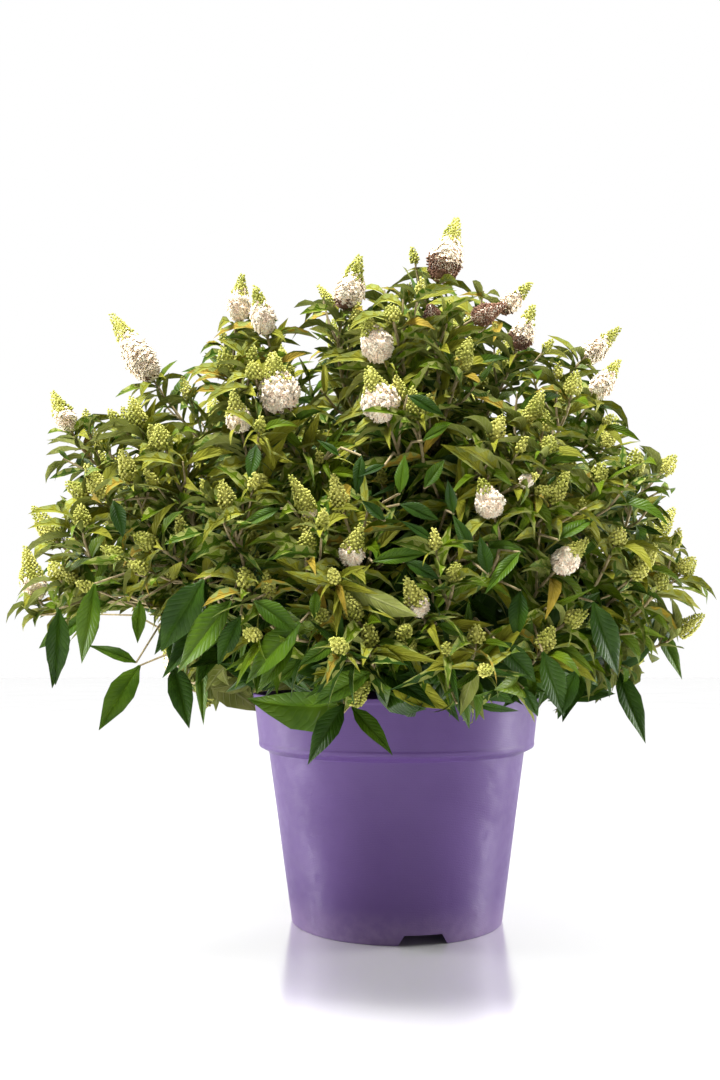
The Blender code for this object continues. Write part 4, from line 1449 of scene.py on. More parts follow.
@dataclass
class Crown:
    """The twigs, leaves and panicles, grown on from the boughs by the rule."""

    rule: CrownRule
    seed: int = 23
    internodes: Place = (0.018, 0.0085)
    first_node: float = 0.010
    leaf_lengths: Place = (0.080, 0.042)
    leaf_widths: Place = (0.195, 0.37)
    narrow_width: float = 0.158
    leaf_scales: Place = (0.70, 1.22)
    leaf_jitter: Place = (0.78, 1.18)
    rich_share: float = 0.30
    side_twig_share: float = 0.30
    side_twig_reach: Place = (0.25, 0.90)
    side_twig_lengths: Place = (0.026, 0.055)
    side_leaf_lengths: Place = (0.046, 0.030)
    bracts: int = 7
    bract_lengths: Place = (0.022, 0.040)
    inner_twigs: int = 9
    inner_reach: Place = (0.070, 0.165)
    inner_lengths: Place = (0.030, 0.060)
    inner_leaf_lengths: Place = (0.066, 0.048)
    shoot_radii: Place = (0.0014, 0.0010)
    twig_radii: Place = (0.0010, 0.0007)
    twig_sides: int = 5
    skirt_height: float = 0.24
    leaf_slack: Place = (-0.006, 0.008)
    facing_stand: float = 1.02
    hang_inward: float = 0.18
    box_margin: float = 0.012
    pot_clearance: float = 0.003
    pot_top: float = 0.1762
    pot_radius: float = 0.115
    floret_spacing: float = 0.0016
    floret_size: float = 0.0027
    panicle_bumps: Place = (0.86, 1.10)
    bud_spacing: float = 0.0022
    bud_size: float = 0.0030
    panicle_gaps: tuple = (0.0, 0.012, 0.026, 0.042)
    panicle_marks: tuple = (0.2, 0.5, 0.8)
    line_steps: int = 14
    # The girth of a panicle's inner axis under florets of each age, as a share of its half width
    axis_girths: tuple = ((Floret.BUD, 0.5), (Floret.OPEN, 0.74), (Floret.SPENT, 0.70))
    open_reach: float = 1.3
    age_blur: float = 0.09
    bud_taper: Place = (1.0, 0.65)
    showy_bud_taper: Place = (1.0, 0.72)
    # Below which share of a shoot its leaves are broad, and what the skirt adds to it
    broad_share: Place = (0.42, 0.53)
    # From which share of a shoot on, and up to which chance each tint is dealt, in the open and
    # with what the skirt adds; then the tint of the rest. None stands for a fresh green. The olive
    # and gilt toward the outer tips are partly young leaves and partly painted light; the deep green
    # lower on the shoots and in the skirt is partly old leaves and partly painted shade
    tint_zones: tuple = (
        (0.80, ((Tint.GILT, 0.07, -0.10), (Tint.OLIVE, 0.46, -0.36)), None),
        (0.45, ((None, 0.50, 0.0), (Tint.OLIVE, 0.70, -0.15)), Tint.DEEP),
        (-1.0, ((Tint.DEEP, 0.62, 0.20),), None),
    )
    bract_tints: tuple = ((Tint.GILT, 0.14), (Tint.OLIVE, 0.70), (Tint.GREEN, 1.0))
    small_panicle_share: float = 0.42
    small_panicle_sizes: Place = (0.010, 0.017)
    small_panicle_width: float = 0.24
    leaf_tries: int = 6
    try_shrink: float = 0.07
    showy_profile: tuple = (
        (0.0, 0.38), (0.12, 0.76), (0.30, 1.0), (0.48, 0.88), (0.62, 0.60), (0.80, 0.38),
        (1.0, 0.12),
    )
    bud_profile: tuple = ((0.0, 0.62), (0.22, 1.0), (0.5, 0.86), (0.8, 0.50), (1.0, 0.12))
    # Leaves with rows of their own: root, tip, width against length, tint, and True where one
    # shows its underside. Those that hang over the rim have their places in the room, and those
    # that face the front have theirs on the outline's plane
    hanging: tuple = (
        ((-0.039, -0.203, 0.177), (-0.061, -0.206, 0.140), 0.40, Tint.DEEP),
        ((-0.034, -0.203, 0.175), (-0.009, -0.210, 0.146), 0.34, Tint.RICH),
        ((-0.192, -0.075, 0.199), (-0.219, -0.085, 0.152), 0.34, Tint.RICH),
        ((-0.195, -0.075, 0.201), (-0.231, -0.080, 0.214), 0.32, Tint.RICH),
        ((-0.163, -0.100, 0.200), (-0.149, -0.110, 0.155), 0.36, Tint.DEEP),
        ((-0.142, -0.110, 0.207), (-0.138, -0.118, 0.158), 0.18, Tint.RICH),
        ((-0.258, -0.045, 0.232), (-0.264, -0.050, 0.181), 0.30, Tint.DEEP),
        ((-0.231, -0.055, 0.245), (-0.238, -0.065, 0.200), 0.30, Tint.RICH),
        ((0.161, -0.080, 0.195), (0.177, -0.090, 0.143), 0.32, Tint.DEEP),
        ((0.131, -0.105, 0.203), (0.112, -0.118, 0.160), 0.38, Tint.DEEP),
        ((0.198, -0.055, 0.230), (0.214, -0.060, 0.188), 0.28, Tint.RICH),
        ((0.033, -0.205, 0.202), (0.046, -0.218, 0.168), 0.34, Tint.RICH, True),
        ((-0.040, -0.245, 0.249), (0.004, -0.264, 0.229), 0.24, Tint.RICH, True),
        ((-0.124, -0.205, 0.251), (-0.153, -0.222, 0.207), 0.42, Tint.DEEP),
        ((-0.113, -0.205, 0.237), (-0.148, -0.222, 0.193), 0.36, Tint.DEEP),
        ((-0.069, -0.225, 0.240), (-0.103, -0.240, 0.214), 0.38, Tint.DEEP),
        ((-0.264, 0.062, 0.242), (-0.314, 0.078, 0.212), 0.26, Tint.RICH),
        ((-0.258, 0.094, 0.262), (-0.302, 0.114, 0.244), 0.24, Tint.DEEP),
        ((0.202, 0.070, 0.294), (0.246, 0.077, 0.278), 0.26, Tint.RICH),
    )
    facing: tuple = (
        ((0.000, 0.316), (0.029, 0.304), 0.32, Tint.DEEP),
        ((-0.020, 0.274), (0.020, 0.280), 0.26, Tint.RICH),
        ((-0.011, 0.304), (-0.028, 0.319), 0.36, Tint.DEEP),
        ((0.023, 0.290), (-0.000, 0.304), 0.34, Tint.DEEP),
        ((0.018, 0.328), (0.033, 0.349), 0.36, Tint.RICH),
        ((-0.011, 0.345), (-0.033, 0.335), 0.32, Tint.DEEP),
        ((0.017, 0.363), (0.037, 0.375), 0.28, Tint.RICH),
        ((0.003, 0.274), (0.029, 0.261), 0.34, Tint.DEEP),
        ((-0.044, 0.352), (-0.061, 0.364), 0.34, Tint.DEEP),
        ((-0.142, 0.261), (-0.172, 0.209), 0.40, Tint.DEEP),
        ((-0.122, 0.246), (-0.160, 0.194), 0.38, Tint.RICH),
        ((-0.072, 0.230), (-0.111, 0.186), 0.42, Tint.RICH),
        ((-0.106, 0.246), (-0.072, 0.221), 0.36, Tint.RICH),
        ((-0.076, 0.217), (-0.103, 0.179), 0.36, Tint.RICH),
        ((-0.115, 0.235), (-0.131, 0.199), 0.34, Tint.DEEP),
        ((0.087, 0.253), (0.083, 0.216), 0.40, Tint.DEEP),
        ((0.139, 0.245), (0.156, 0.192), 0.36, Tint.DEEP),
        ((0.127, 0.197), (0.112, 0.161), 0.34, Tint.DEEP),
        ((0.069, 0.217), (0.097, 0.187), 0.36, Tint.DEEP),
        ((0.054, 0.210), (0.018, 0.195), 0.34, Tint.OLIVE),
        ((0.052, 0.281), (0.038, 0.309), 0.38, Tint.DEEP),
        ((0.039, 0.309), (0.035, 0.334), 0.36, Tint.DEEP),
        ((0.064, 0.265), (0.058, 0.293), 0.42, Tint.DEEP),
        ((0.115, 0.290), (0.144, 0.307), 0.32, Tint.RICH),
        ((-0.105, 0.360), (-0.110, 0.332), 0.40, Tint.DEEP),
        ((-0.209, 0.319), (-0.200, 0.290), 0.34, Tint.DEEP),
        ((0.102, 0.209), (0.117, 0.163), 0.38, Tint.DEEP),
        ((0.026, 0.229), (0.047, 0.220), 0.34, Tint.RICH),
        ((-0.043, 0.217), (-0.073, 0.199), 0.32, Tint.RICH),
        ((-0.020, 0.195), (-0.063, 0.171), 0.34, Tint.RICH),
        ((0.054, 0.200), (0.042, 0.163), 0.34, Tint.RICH, True),
        ((-0.061, 0.253), (-0.062, 0.232), 0.40, Tint.RICH),
        ((-0.028, 0.352), (-0.032, 0.322), 0.30, Tint.DEEP),
        ((0.000, 0.324), (0.004, 0.353), 0.36, Tint.RICH),
        ((-0.246, 0.240), (-0.247, 0.185), 0.30, Tint.DEEP),
        ((-0.221, 0.258), (-0.229, 0.202), 0.30, Tint.RICH),
        ((-0.188, 0.246), (-0.189, 0.215), 0.34, Tint.RICH),
        ((0.087, 0.281), (0.061, 0.250), 0.30, Tint.RICH),
        ((0.088, 0.183), (0.098, 0.163), 0.34, Tint.DEEP),
        ((0.006, 0.397), (0.033, 0.382), 0.30, Tint.DEEP),
        ((-0.087, 0.313), (-0.121, 0.296), 0.30, Tint.RICH),
    )

    def __post_init__(self) -> None:
        """Gets ready to grow."""
        self.rng = random.Random(self.seed)
        self.shapes = LeafShapes()
        self.lines: list[tuple[list[Vector], list[float]]] = []
        self.leaves = {(blade, tint): [] for blade in Blade for tint in Tint}
        self.florets = {age: [] for age in Floret}
        self._mark_panicles()

    def _mark_panicles(self) -> None:
        """Notes where all the panicles stand, so that leaves keep off them."""
        marks = []
        for _, shoot, _ in self.rule.curves:
            for place in self.panicle_marks:
                point = shoot.foot.lerp(shoot.tip, place)
                outward = (point - self.rule.centre).normalized()
                if point.y < 0.02:
                    outward = (EYE - point).normalized()
                marks += [(point + outward * gap, shoot.half_width) for gap in self.panicle_gaps]
        self.panicle_tree = KDTree(len(marks))
        self.panicle_widths = [width for _, width in marks]
        for number, (point, _) in enumerate(marks):
            self.panicle_tree.insert(point, number)
        self.panicle_tree.balance()

    def grow(self) -> None:
        """Grows every shoot, the short leafy twigs of the stems, and the leaves with own rows."""
        for _, shoot, curve in self.rule.curves:
            self._grow_shoot(shoot, curve)
        for mass in self.rule.masses:
            self._grow_inner(mass)
        self._grow_hanging()

    def _grow_shoot(self, shoot: Shoot, curve: Curve) -> None:
        """Grows a shoot with its pairs of leaves, side twigs, bracts and panicle.

        Args:
            shoot: The shoot.
            curve: Its line, up to the foot of its panicle.
        """
        run = Run([bezier(curve, step / self.line_steps) for step in range(self.line_steps + 1)])
        self._add_line(run.points, self.shoot_radii)
        low = max(0.0, min(1.0, (self.skirt_height - shoot.tip.z) / 0.06 + 0.5))
        turn = self.rng.uniform(0.0, math.pi)
        self.rng.choice((0, 1))  # keeps the later draws as they are
        distance = self.first_node
        while distance < run.length - 0.004:
            share = distance / run.length
            point, ahead = run.at(distance)
            turn += math.pi / 2 + self.rng.uniform(-0.25, 0.25)
            across = spoke(ahead, turn)
            tint = self._tint(share, low)
            twig_here = self.side_twig_reach[0] < share < self.side_twig_reach[1]
            for side in (0, 1):
                outward = across if side else -across
                length = mix(*self.leaf_lengths, share**0.8) * self.rng.uniform(*self.leaf_jitter)
                length *= mix(*self.leaf_scales, low)
                broad = share < self.broad_share[0] + self.broad_share[1] * low
                blade = Blade.BROAD if broad else Blade.NARROW
                self._add_leaf(point, ahead, outward, length, blade, tint, low)
                if twig_here and self.rng.random() < self.side_twig_share:
                    self._grow_side_twig(point, ahead, outward, share, low)
            distance += mix(*self.internodes, share)
        if shoot.faded < 1.0:
            self._add_bracts(shoot)
        self._add_panicle(shoot)

    def _tint(self, share: float, low: float) -> Tint:
        """Deals out the colour of a pair of leaves.

        Args:
            share: How far up the shoot the pair stands.
            low: From 0 in the open crown to 1 in the skirt.

        Returns:
            The colour.
        """
        chance = self.rng.random()
        fresh = Tint.RICH if self.rng.random() < self.rich_share + 0.5 * low else Tint.GREEN
        dealt, rest = next((deal, rest) for start, deal, rest in self.tint_zones if share > start)
        tint = next((tint for tint, limit, skirt in dealt if chance < limit + skirt * low), rest)
        return tint or fresh

    def _grow_side_twig(
        self, root: Vector, ahead: Vector, outward: Vector, share: float, low: float
    ) -> None:
        """Grows a short twig from the axil of a leaf, some with a small panicle in bud.

        Args:
            root: The leaf's node.
            ahead: The shoot's direction there.
            outward: The side that the leaf leaves from.
            share: How far up the shoot it is.
            low: From 0 in the open crown to 1 in the skirt.
        """
        length = self.rng.uniform(*self.side_twig_lengths) * mix(1.1, 0.7, share)
        direction = ahead + outward * self.rng.uniform(0.7, 1.1) + UP * self.rng.uniform(0.0, 0.5)
        direction.normalize()
        bend = (direction + ahead * 0.5 + UP * 0.25).normalized()
        middle = root + direction * length * 0.5
        points = [root, middle, middle + bend * length * 0.5]
        if not self._free(points[-1], 0.004) or not self.rule.in_outline(points[-1], 0.0):
            return
        run = Run(points)
        self._add_line(points, self.twig_radii)
        turn = self.rng.uniform(0.0, math.pi)
        pairs = max(2, round(length / 0.013))
        # Deeper greens in the skirt and paler ones with olive in the crown: partly leaf colour,
        # partly painted shade under the crown and painted light on it
        skirt, crown = (Tint.RICH, Tint.RICH, Tint.DEEP), (Tint.GREEN, Tint.RICH, Tint.OLIVE)
        tint = self.rng.choice(skirt if low > 0.4 else crown)
        for step in range(pairs):
            place = (step + 0.6) / pairs
            point, heading = run.at(place * run.length)
            turn += math.pi / 2
            across = spoke(heading, turn)
            leaf = mix(*self.side_leaf_lengths, place) * self.rng.uniform(*self.leaf_jitter)
            for outward_now in (across, -across):
                self._add_leaf(point, heading, outward_now, leaf, Blade.NARROW, tint, low)
        if self.rng.random() < self.small_panicle_share:
            heading = run.at(run.length)[1]
            size = self.rng.uniform(*self.small_panicle_sizes)
            small = Shoot(points[-1], points[-1] + heading * size, size * self.small_panicle_width)
            self._add_panicle(small)
            self._add_bracts(small, 4, 0.7)

    def _grow_inner(self, mass: Mass) -> None:
        """Grows short leafy twigs along a mass's stem, which close the crown's inside.

        Args:
            mass: The mass.
        """
        end = FORK + mass.axis * STEM_REACH
        thick = mass.radii[1]
        self._add_line([FORK + mass.axis * (BOUGH_REACH - 0.004), end], (thick, 0.6 * thick))
        for step in range(self.inner_twigs):
            reach = mix(*self.inner_reach, (step + self.rng.random()) / self.inner_twigs)
            root = FORK + mass.axis * reach
            outward = spoke(mass.axis, GOLDEN_TURN * step + self.rng.uniform(-0.3, 0.3))
            length = self.rng.uniform(*self.inner_lengths)
            direction = (mass.axis * 0.7 + outward + UP * 0.15).normalized()
            tip = root + direction * length
            if not self._free(tip, 0.004):
                continue
            run = Run([root, tip])
            self._add_line([root, tip], self.twig_radii)
            pairs = round(length / 0.014)
            for pair in range(pairs):
                point, heading = run.at((pair + 0.7) / pairs * length)
                across = spoke(heading, pair * math.pi / 2 + step)
                leaf = mix(*self.inner_leaf_lengths, pair / pairs)
                leaf *= self.rng.uniform(*self.leaf_jitter)
                for outward_now in (across, -across):
                    # Deep green inside the crown: partly old leaves, partly painted shade
                    self._add_leaf(point, heading, outward_now, leaf, Blade.BROAD, Tint.DEEP, 0.3)

    def _grow_hanging(self) -> None:
        """Places the leaves with rows of their own, each on a short twig from the nearest one."""
        twigs = [point for line, _ in self.lines for point in line]
        near = KDTree(len(twigs))
        for number, point in enumerate(twigs):
            near.insert(point, number)
        near.balance()
        rows = [(Vector(root), Vector(tip), *rest) for root, tip, *rest in self.hanging]
        rows += [
            (self._in_front(root), self._in_front(tip), *rest) for root, tip, *rest in self.facing
        ]
        for root, tip, ratio, tint, *turned_away in rows:
            start = near.find(root.lerp(self.rule.centre, self.hang_inward))[0]
            middle = start.lerp(root, 0.5) + UP * (0.12 * (root - start).length)
            self._add_line([start, middle, root], self.twig_radii)
            chord = (tip - root).normalized()
            outside = (EYE - root).normalized() + UP * 0.5
            normal = square_to(-outside if turned_away else outside, chord)
            shape = self.rng.randrange(len(self.shapes.twists))
            ahead, above = self.shapes.tip(Blade.BROAD, shape)
            turn = Matrix.Rotation(math.atan2(above, ahead), 3, normal.cross(chord))
            size = (tip - root).length / math.hypot(ahead, above)
            key = (Blade.BROAD, tint)
            self.leaves[key].append(
                (root, turn @ chord, turn @ normal, (size, size * ratio, size), shape)
            )

    def _in_front(self, place: Place) -> Vector:
        """The point just before the dome that is seen where a place of the outline's plane is."""
        return self.rule.on_sight(place, self.rule.on_dome(place).y * self.facing_stand)

    def _add_line(self, points: list[Vector], radii: Place) -> None:
        """Notes a twig's line, tapering from one radius to the other."""
        steps = len(points) - 1
        self.lines.append((points, [mix(*radii, step / steps) for step in range(steps + 1)]))

    def _free(self, point: Vector, room: float, slack: float = 0.002) -> bool:
        """Whether a leaf may reach a point: in the outline, outside the pot, off the panicles.

        Args:
            point: The point.
            room: How far it has to be from a panicle.
            slack: How far outside the outline it may be.

        Returns:
            Whether it may.
        """
        if not self.rule.in_outline(point, slack):
            return False
        low, high = CAD_BOX
        room_out = self.box_margin
        if any(p < a - room_out or p > b + room_out for p, a, b in zip(point, low, high)):
            return False
        radius = math.hypot(point.x, point.y)
        top, rim = self.pot_top + self.pot_clearance, self.pot_radius + self.pot_clearance
        if point.z < top and radius < rim:
            return False
        _, number, distance = self.panicle_tree.find(point)
        return distance > self.panicle_widths[number] + room

    def _add_leaf(
        self,
        point: Vector,
        ahead: Vector,
        outward: Vector,
        length: float,
        blade: Blade,
        tint: Tint,
        low: float,
    ) -> None:
        """Finds room for a leaf at a node and places it.

        Args:
            point: The node.
            ahead: The twig's direction there.
            outward: The side that the leaf leaves from.
            length: The leaf's length.
            blade: Its outline.
            tint: Its colour.
            low: From 0 in the open crown to 1 in the skirt, where leaves hang.
        """
        rng = self.rng
        bends = len(self.shapes.BENDS[blade])
        slack = rng.uniform(*self.leaf_slack)
        for step in range(self.leaf_tries):
            forward = rng.uniform(0.25, 0.75) + 0.25 * (1.0 - low)
            side = turned(outward, ahead, rng.uniform(-0.3, 0.3) * (1 + step))
            heading = ahead * forward + side - UP * (rng.uniform(0.0, 0.30) + 0.25 * low)
            heading.normalize()
            outside = (point - self.rule.centre).normalized()
            normal = square_to(ahead * 0.8 + UP * 0.35 + outside * 0.8, heading)
            normal.rotate(Matrix.Rotation(rng.uniform(-0.40, 0.40), 3, heading))
            bend = round(rng.triangular(-0.4, bends - 0.6, 0.9 + low))
            bend = min(bends - 1, max(0, bend))
            shape = bend * len(self.shapes.twists) + rng.randrange(len(self.shapes.twists))
            size = length * (1.0 - self.try_shrink * step)
            tip_ahead, tip_above = self.shapes.tip(blade, shape)
            tip = point + heading * (tip_ahead * size) + normal * (tip_above * size)
            middle = point.lerp(tip, 0.55) + normal * (0.05 * size)
            if self._free(tip, 0.002, slack) and self._free(middle, 0.004, slack):
                broad = blade is Blade.BROAD
                ratio = mix(*self.leaf_widths, low) if broad else self.narrow_width
                width = size * ratio * rng.uniform(0.85, 1.15)
                found = (point, heading, normal, (size, width, size), shape)
                self.leaves[(blade, tint)].append(found)
                return

    def _add_bracts(self, shoot: Shoot, count: int | None = None, scale: float = 1.0) -> None:
        """Sets small curled leaves round the foot of a panicle.

        Args:
            shoot: The panicle's shoot.
            count: How many leaves, if not the usual number.
            scale: Their size against the usual one.
        """
        rng = self.rng
        axis = (shoot.tip - shoot.foot).normalized()
        turn = rng.uniform(0.0, math.pi)
        twists = len(self.shapes.twists)
        drop = 0.35 if shoot.showy else 0.0
        for step in range(count or self.bracts):
            side = spoke(axis, turn + GOLDEN_TURN * step)
            heading = (side + axis * (rng.uniform(0.15, 0.8) - drop)).normalized()
            root = shoot.foot - axis * (0.0012 * step) + side * 0.001
            normal = square_to(axis + UP * 0.4, heading)
            size = rng.uniform(*self.bract_lengths) * scale
            shape = rng.choice((1, 2, 2, 3)) * twists + rng.randrange(twists)
            tip_ahead, tip_above = self.shapes.tip(Blade.NARROW, shape)
            tip = root + heading * (tip_ahead * size) + normal * (tip_above * size)
            if not self._free(tip, 0.001):
                continue
            chance = rng.random()
            tint = next(tint for tint, limit in self.bract_tints if chance < limit)
            found = (root, heading, normal, (size, size * rng.uniform(0.14, 0.22), size), shape)
            self.leaves[(Blade.NARROW, tint)].append(found)

    def _add_panicle(self, shoot: Shoot) -> None:
        """Sets buds, open florets and spent ones round a panicle's axis, by the golden turn.

        Args:
            shoot: The panicle's shoot.
        """
        rng = self.rng
        axis = shoot.tip - shoot.foot
        length = axis.length
        axis.normalize()
        profile = self.showy_profile if shoot.showy else self.bud_profile
        reaches = (1.0, self.open_reach * shoot.opened, shoot.faded)
        for (age, girth), reach in zip(self.axis_girths, reaches):
            if reach > 0.0:
                thick = girth * shoot.half_width
                core = (thick, thick, length * min(1.0, reach))
                self.florets[age].append((shoot.foot, spoke(axis, 0.0), axis, core, 2))
        place, turn = 0.02, rng.uniform(0.0, math.pi)
        while place < 1.0:
            radius = shoot.half_width * station(profile, place)
            age = self._age(shoot, place)
            spacing = self.bud_spacing if age is Floret.BUD else self.floret_spacing
            turn += GOLDEN_TURN
            side = spoke(axis, turn)
            size = self.bud_size if age is Floret.BUD else self.floret_size
            size *= rng.uniform(0.85, 1.12)
            if age is Floret.BUD:
                size *= mix(*(self.showy_bud_taper if shoot.showy else self.bud_taper), place)
            bumpy = radius * rng.uniform(*self.panicle_bumps)
            facing = (side + axis * rng.uniform(0.25, 0.75)).normalized()
            root = shoot.foot + axis * (place * length) + side * max(0.0, bumpy - 0.45 * size)
            ahead = turned(square_to(axis, facing), facing, rng.uniform(0.0, math.pi))
            self.florets[age].append((root, ahead, facing, (size, size, size), rng.randrange(2)))
            place += spacing**2 / (math.tau * max(radius, 0.0012) * length)

    def _age(self, shoot: Shoot, place: float) -> Floret:
        """How old the florets are at a place on a panicle: the oldest are at its foot.

        Args:
            shoot: The panicle's shoot.
            place: How far up the panicle.

        Returns:
            Their age.
        """
        if not shoot.showy:
            return Floret.BUD
        shifted = place + self.rng.uniform(-self.age_blur, self.age_blur)
        if shifted < shoot.faded:
            return Floret.SPENT
        return Floret.OPEN if shifted < shoot.opened else Floret.BUD

    def dress(self, finishes: Finishes, scatter: ScatterTree, twigs: TwigTree) -> None:
        """Makes the pieces of the crown.

        Args:
            finishes: The materials.
            scatter: The tree that puts shapes on points.
            twigs: The tree that runs twigs along lines.
        """
        nodes = self.rule.mass_nodes()
        values = {"Sides": self.twig_sides, "Material": finishes.felt_stem}
        hand_over(twigs.run("young_twigs", self._line_mesh(), values), nodes)
        for (blade, tint), places in self.leaves.items():
            shapes = self.shapes.build(blade)
            name = f"leaves_{tint.value}_{blade.value}"
            crowd = Scatter(name, shapes, finishes.leaves[tint], finishes.underside)
            self._hand_over_crowd(crowd, places, scatter, "foliage", nodes)
        for age, places in self.florets.items():
            coat = finishes.florets[age]
            crowd = Scatter(f"florets_{age.value}", FloretShapes().build(age), coat, coat)
            self._hand_over_crowd(crowd, places, scatter, "blossom", nodes)

    @staticmethod
    def _hand_over_crowd(
        crowd: Scatter, places: list, tree: ScatterTree, slot: str, nodes: list[str]
    ) -> None:
        """Builds a crowd of shapes and hands its pieces over.

        Args:
            crowd: The crowd, still empty.
            places: What each copy is added with.
            tree: The tree that puts shapes on points.
            slot: The record's material slot; not used.
            nodes: The nodes that the pieces stand for.
        """
        for place in places:
            crowd.add(*place)
        for piece in crowd.build(tree):
            hand_over(piece, nodes)

    def _line_mesh(self) -> Mesh:
        """A mesh of all the twigs' lines, with the thickness of each point."""
        points, edges, thickness = [], [], []
        for line, radii in self.lines:
            first = len(points)
            points += line
            thickness += radii
            edges += [(first + step, first + step + 1) for step in range(len(line) - 1)]
        mesh = bpy.data.meshes.new("twig_lines")
        mesh.from_pydata([tuple(p) for p in points], edges, [])
        mesh.attributes.new("thickness", "FLOAT", "POINT").data.foreach_set("value", thickness)
        return mesh


def lathe(profile: list[Place], segments: int) -> tuple[list, list]:
    """A closed solid of revolution about Z.

    Args:
        profile: Points of (radius, height) that start and end on the axis.
        segments: How many sides it has.

    Returns:
        Its points and faces.
    """
    points, rings, faces = [], [], []
    for radius, height in profile:
        if radius == 0.0:
            rings.append([len(points)] * segments)
            points.append((0.0, 0.0, height))
            continue
        rings.append(list(range(len(points), len(points) + segments)))
        for step in range(segments):
            turn = math.tau * step / segments
            points.append((radius * math.cos(turn), radius * math.sin(turn), height))
    for lower, upper in zip(rings, rings[1:]):
        for step in range(segments):
            after = (step + 1) % segments
            corners = [lower[step], lower[after], upper[after], upper[step]]
            faces.append([c for i, c in enumerate(corners) if c not in corners[:i]])
    return points, faces


def softened(profile: list[Place], radius: float, steps: int) -> list[Place]:
    """Rounds the corners of a profile.

    Args:
        profile: Points of (radius, height).
        radius: How far from each corner its curve starts.
        steps: How many points each curve has after its first.

    Returns:
        The rounded profile.
    """
    found = [profile[0]]
    for before, corner, after in zip(profile, profile[1:], profile[2:]):
        here = Vector(corner)
        arms = [Vector(end) - here for end in (before, after)]
        arms = [arm * (min(radius, 0.45 * arm.length) / arm.length) for arm in arms]
        for step in range(steps + 1):
            share = step / steps
            bent = here + arms[0] * (1.0 - share) ** 2 + arms[1] * share**2
            found.append((bent.x, bent.y))
    found.append(profile[-1])
    return found


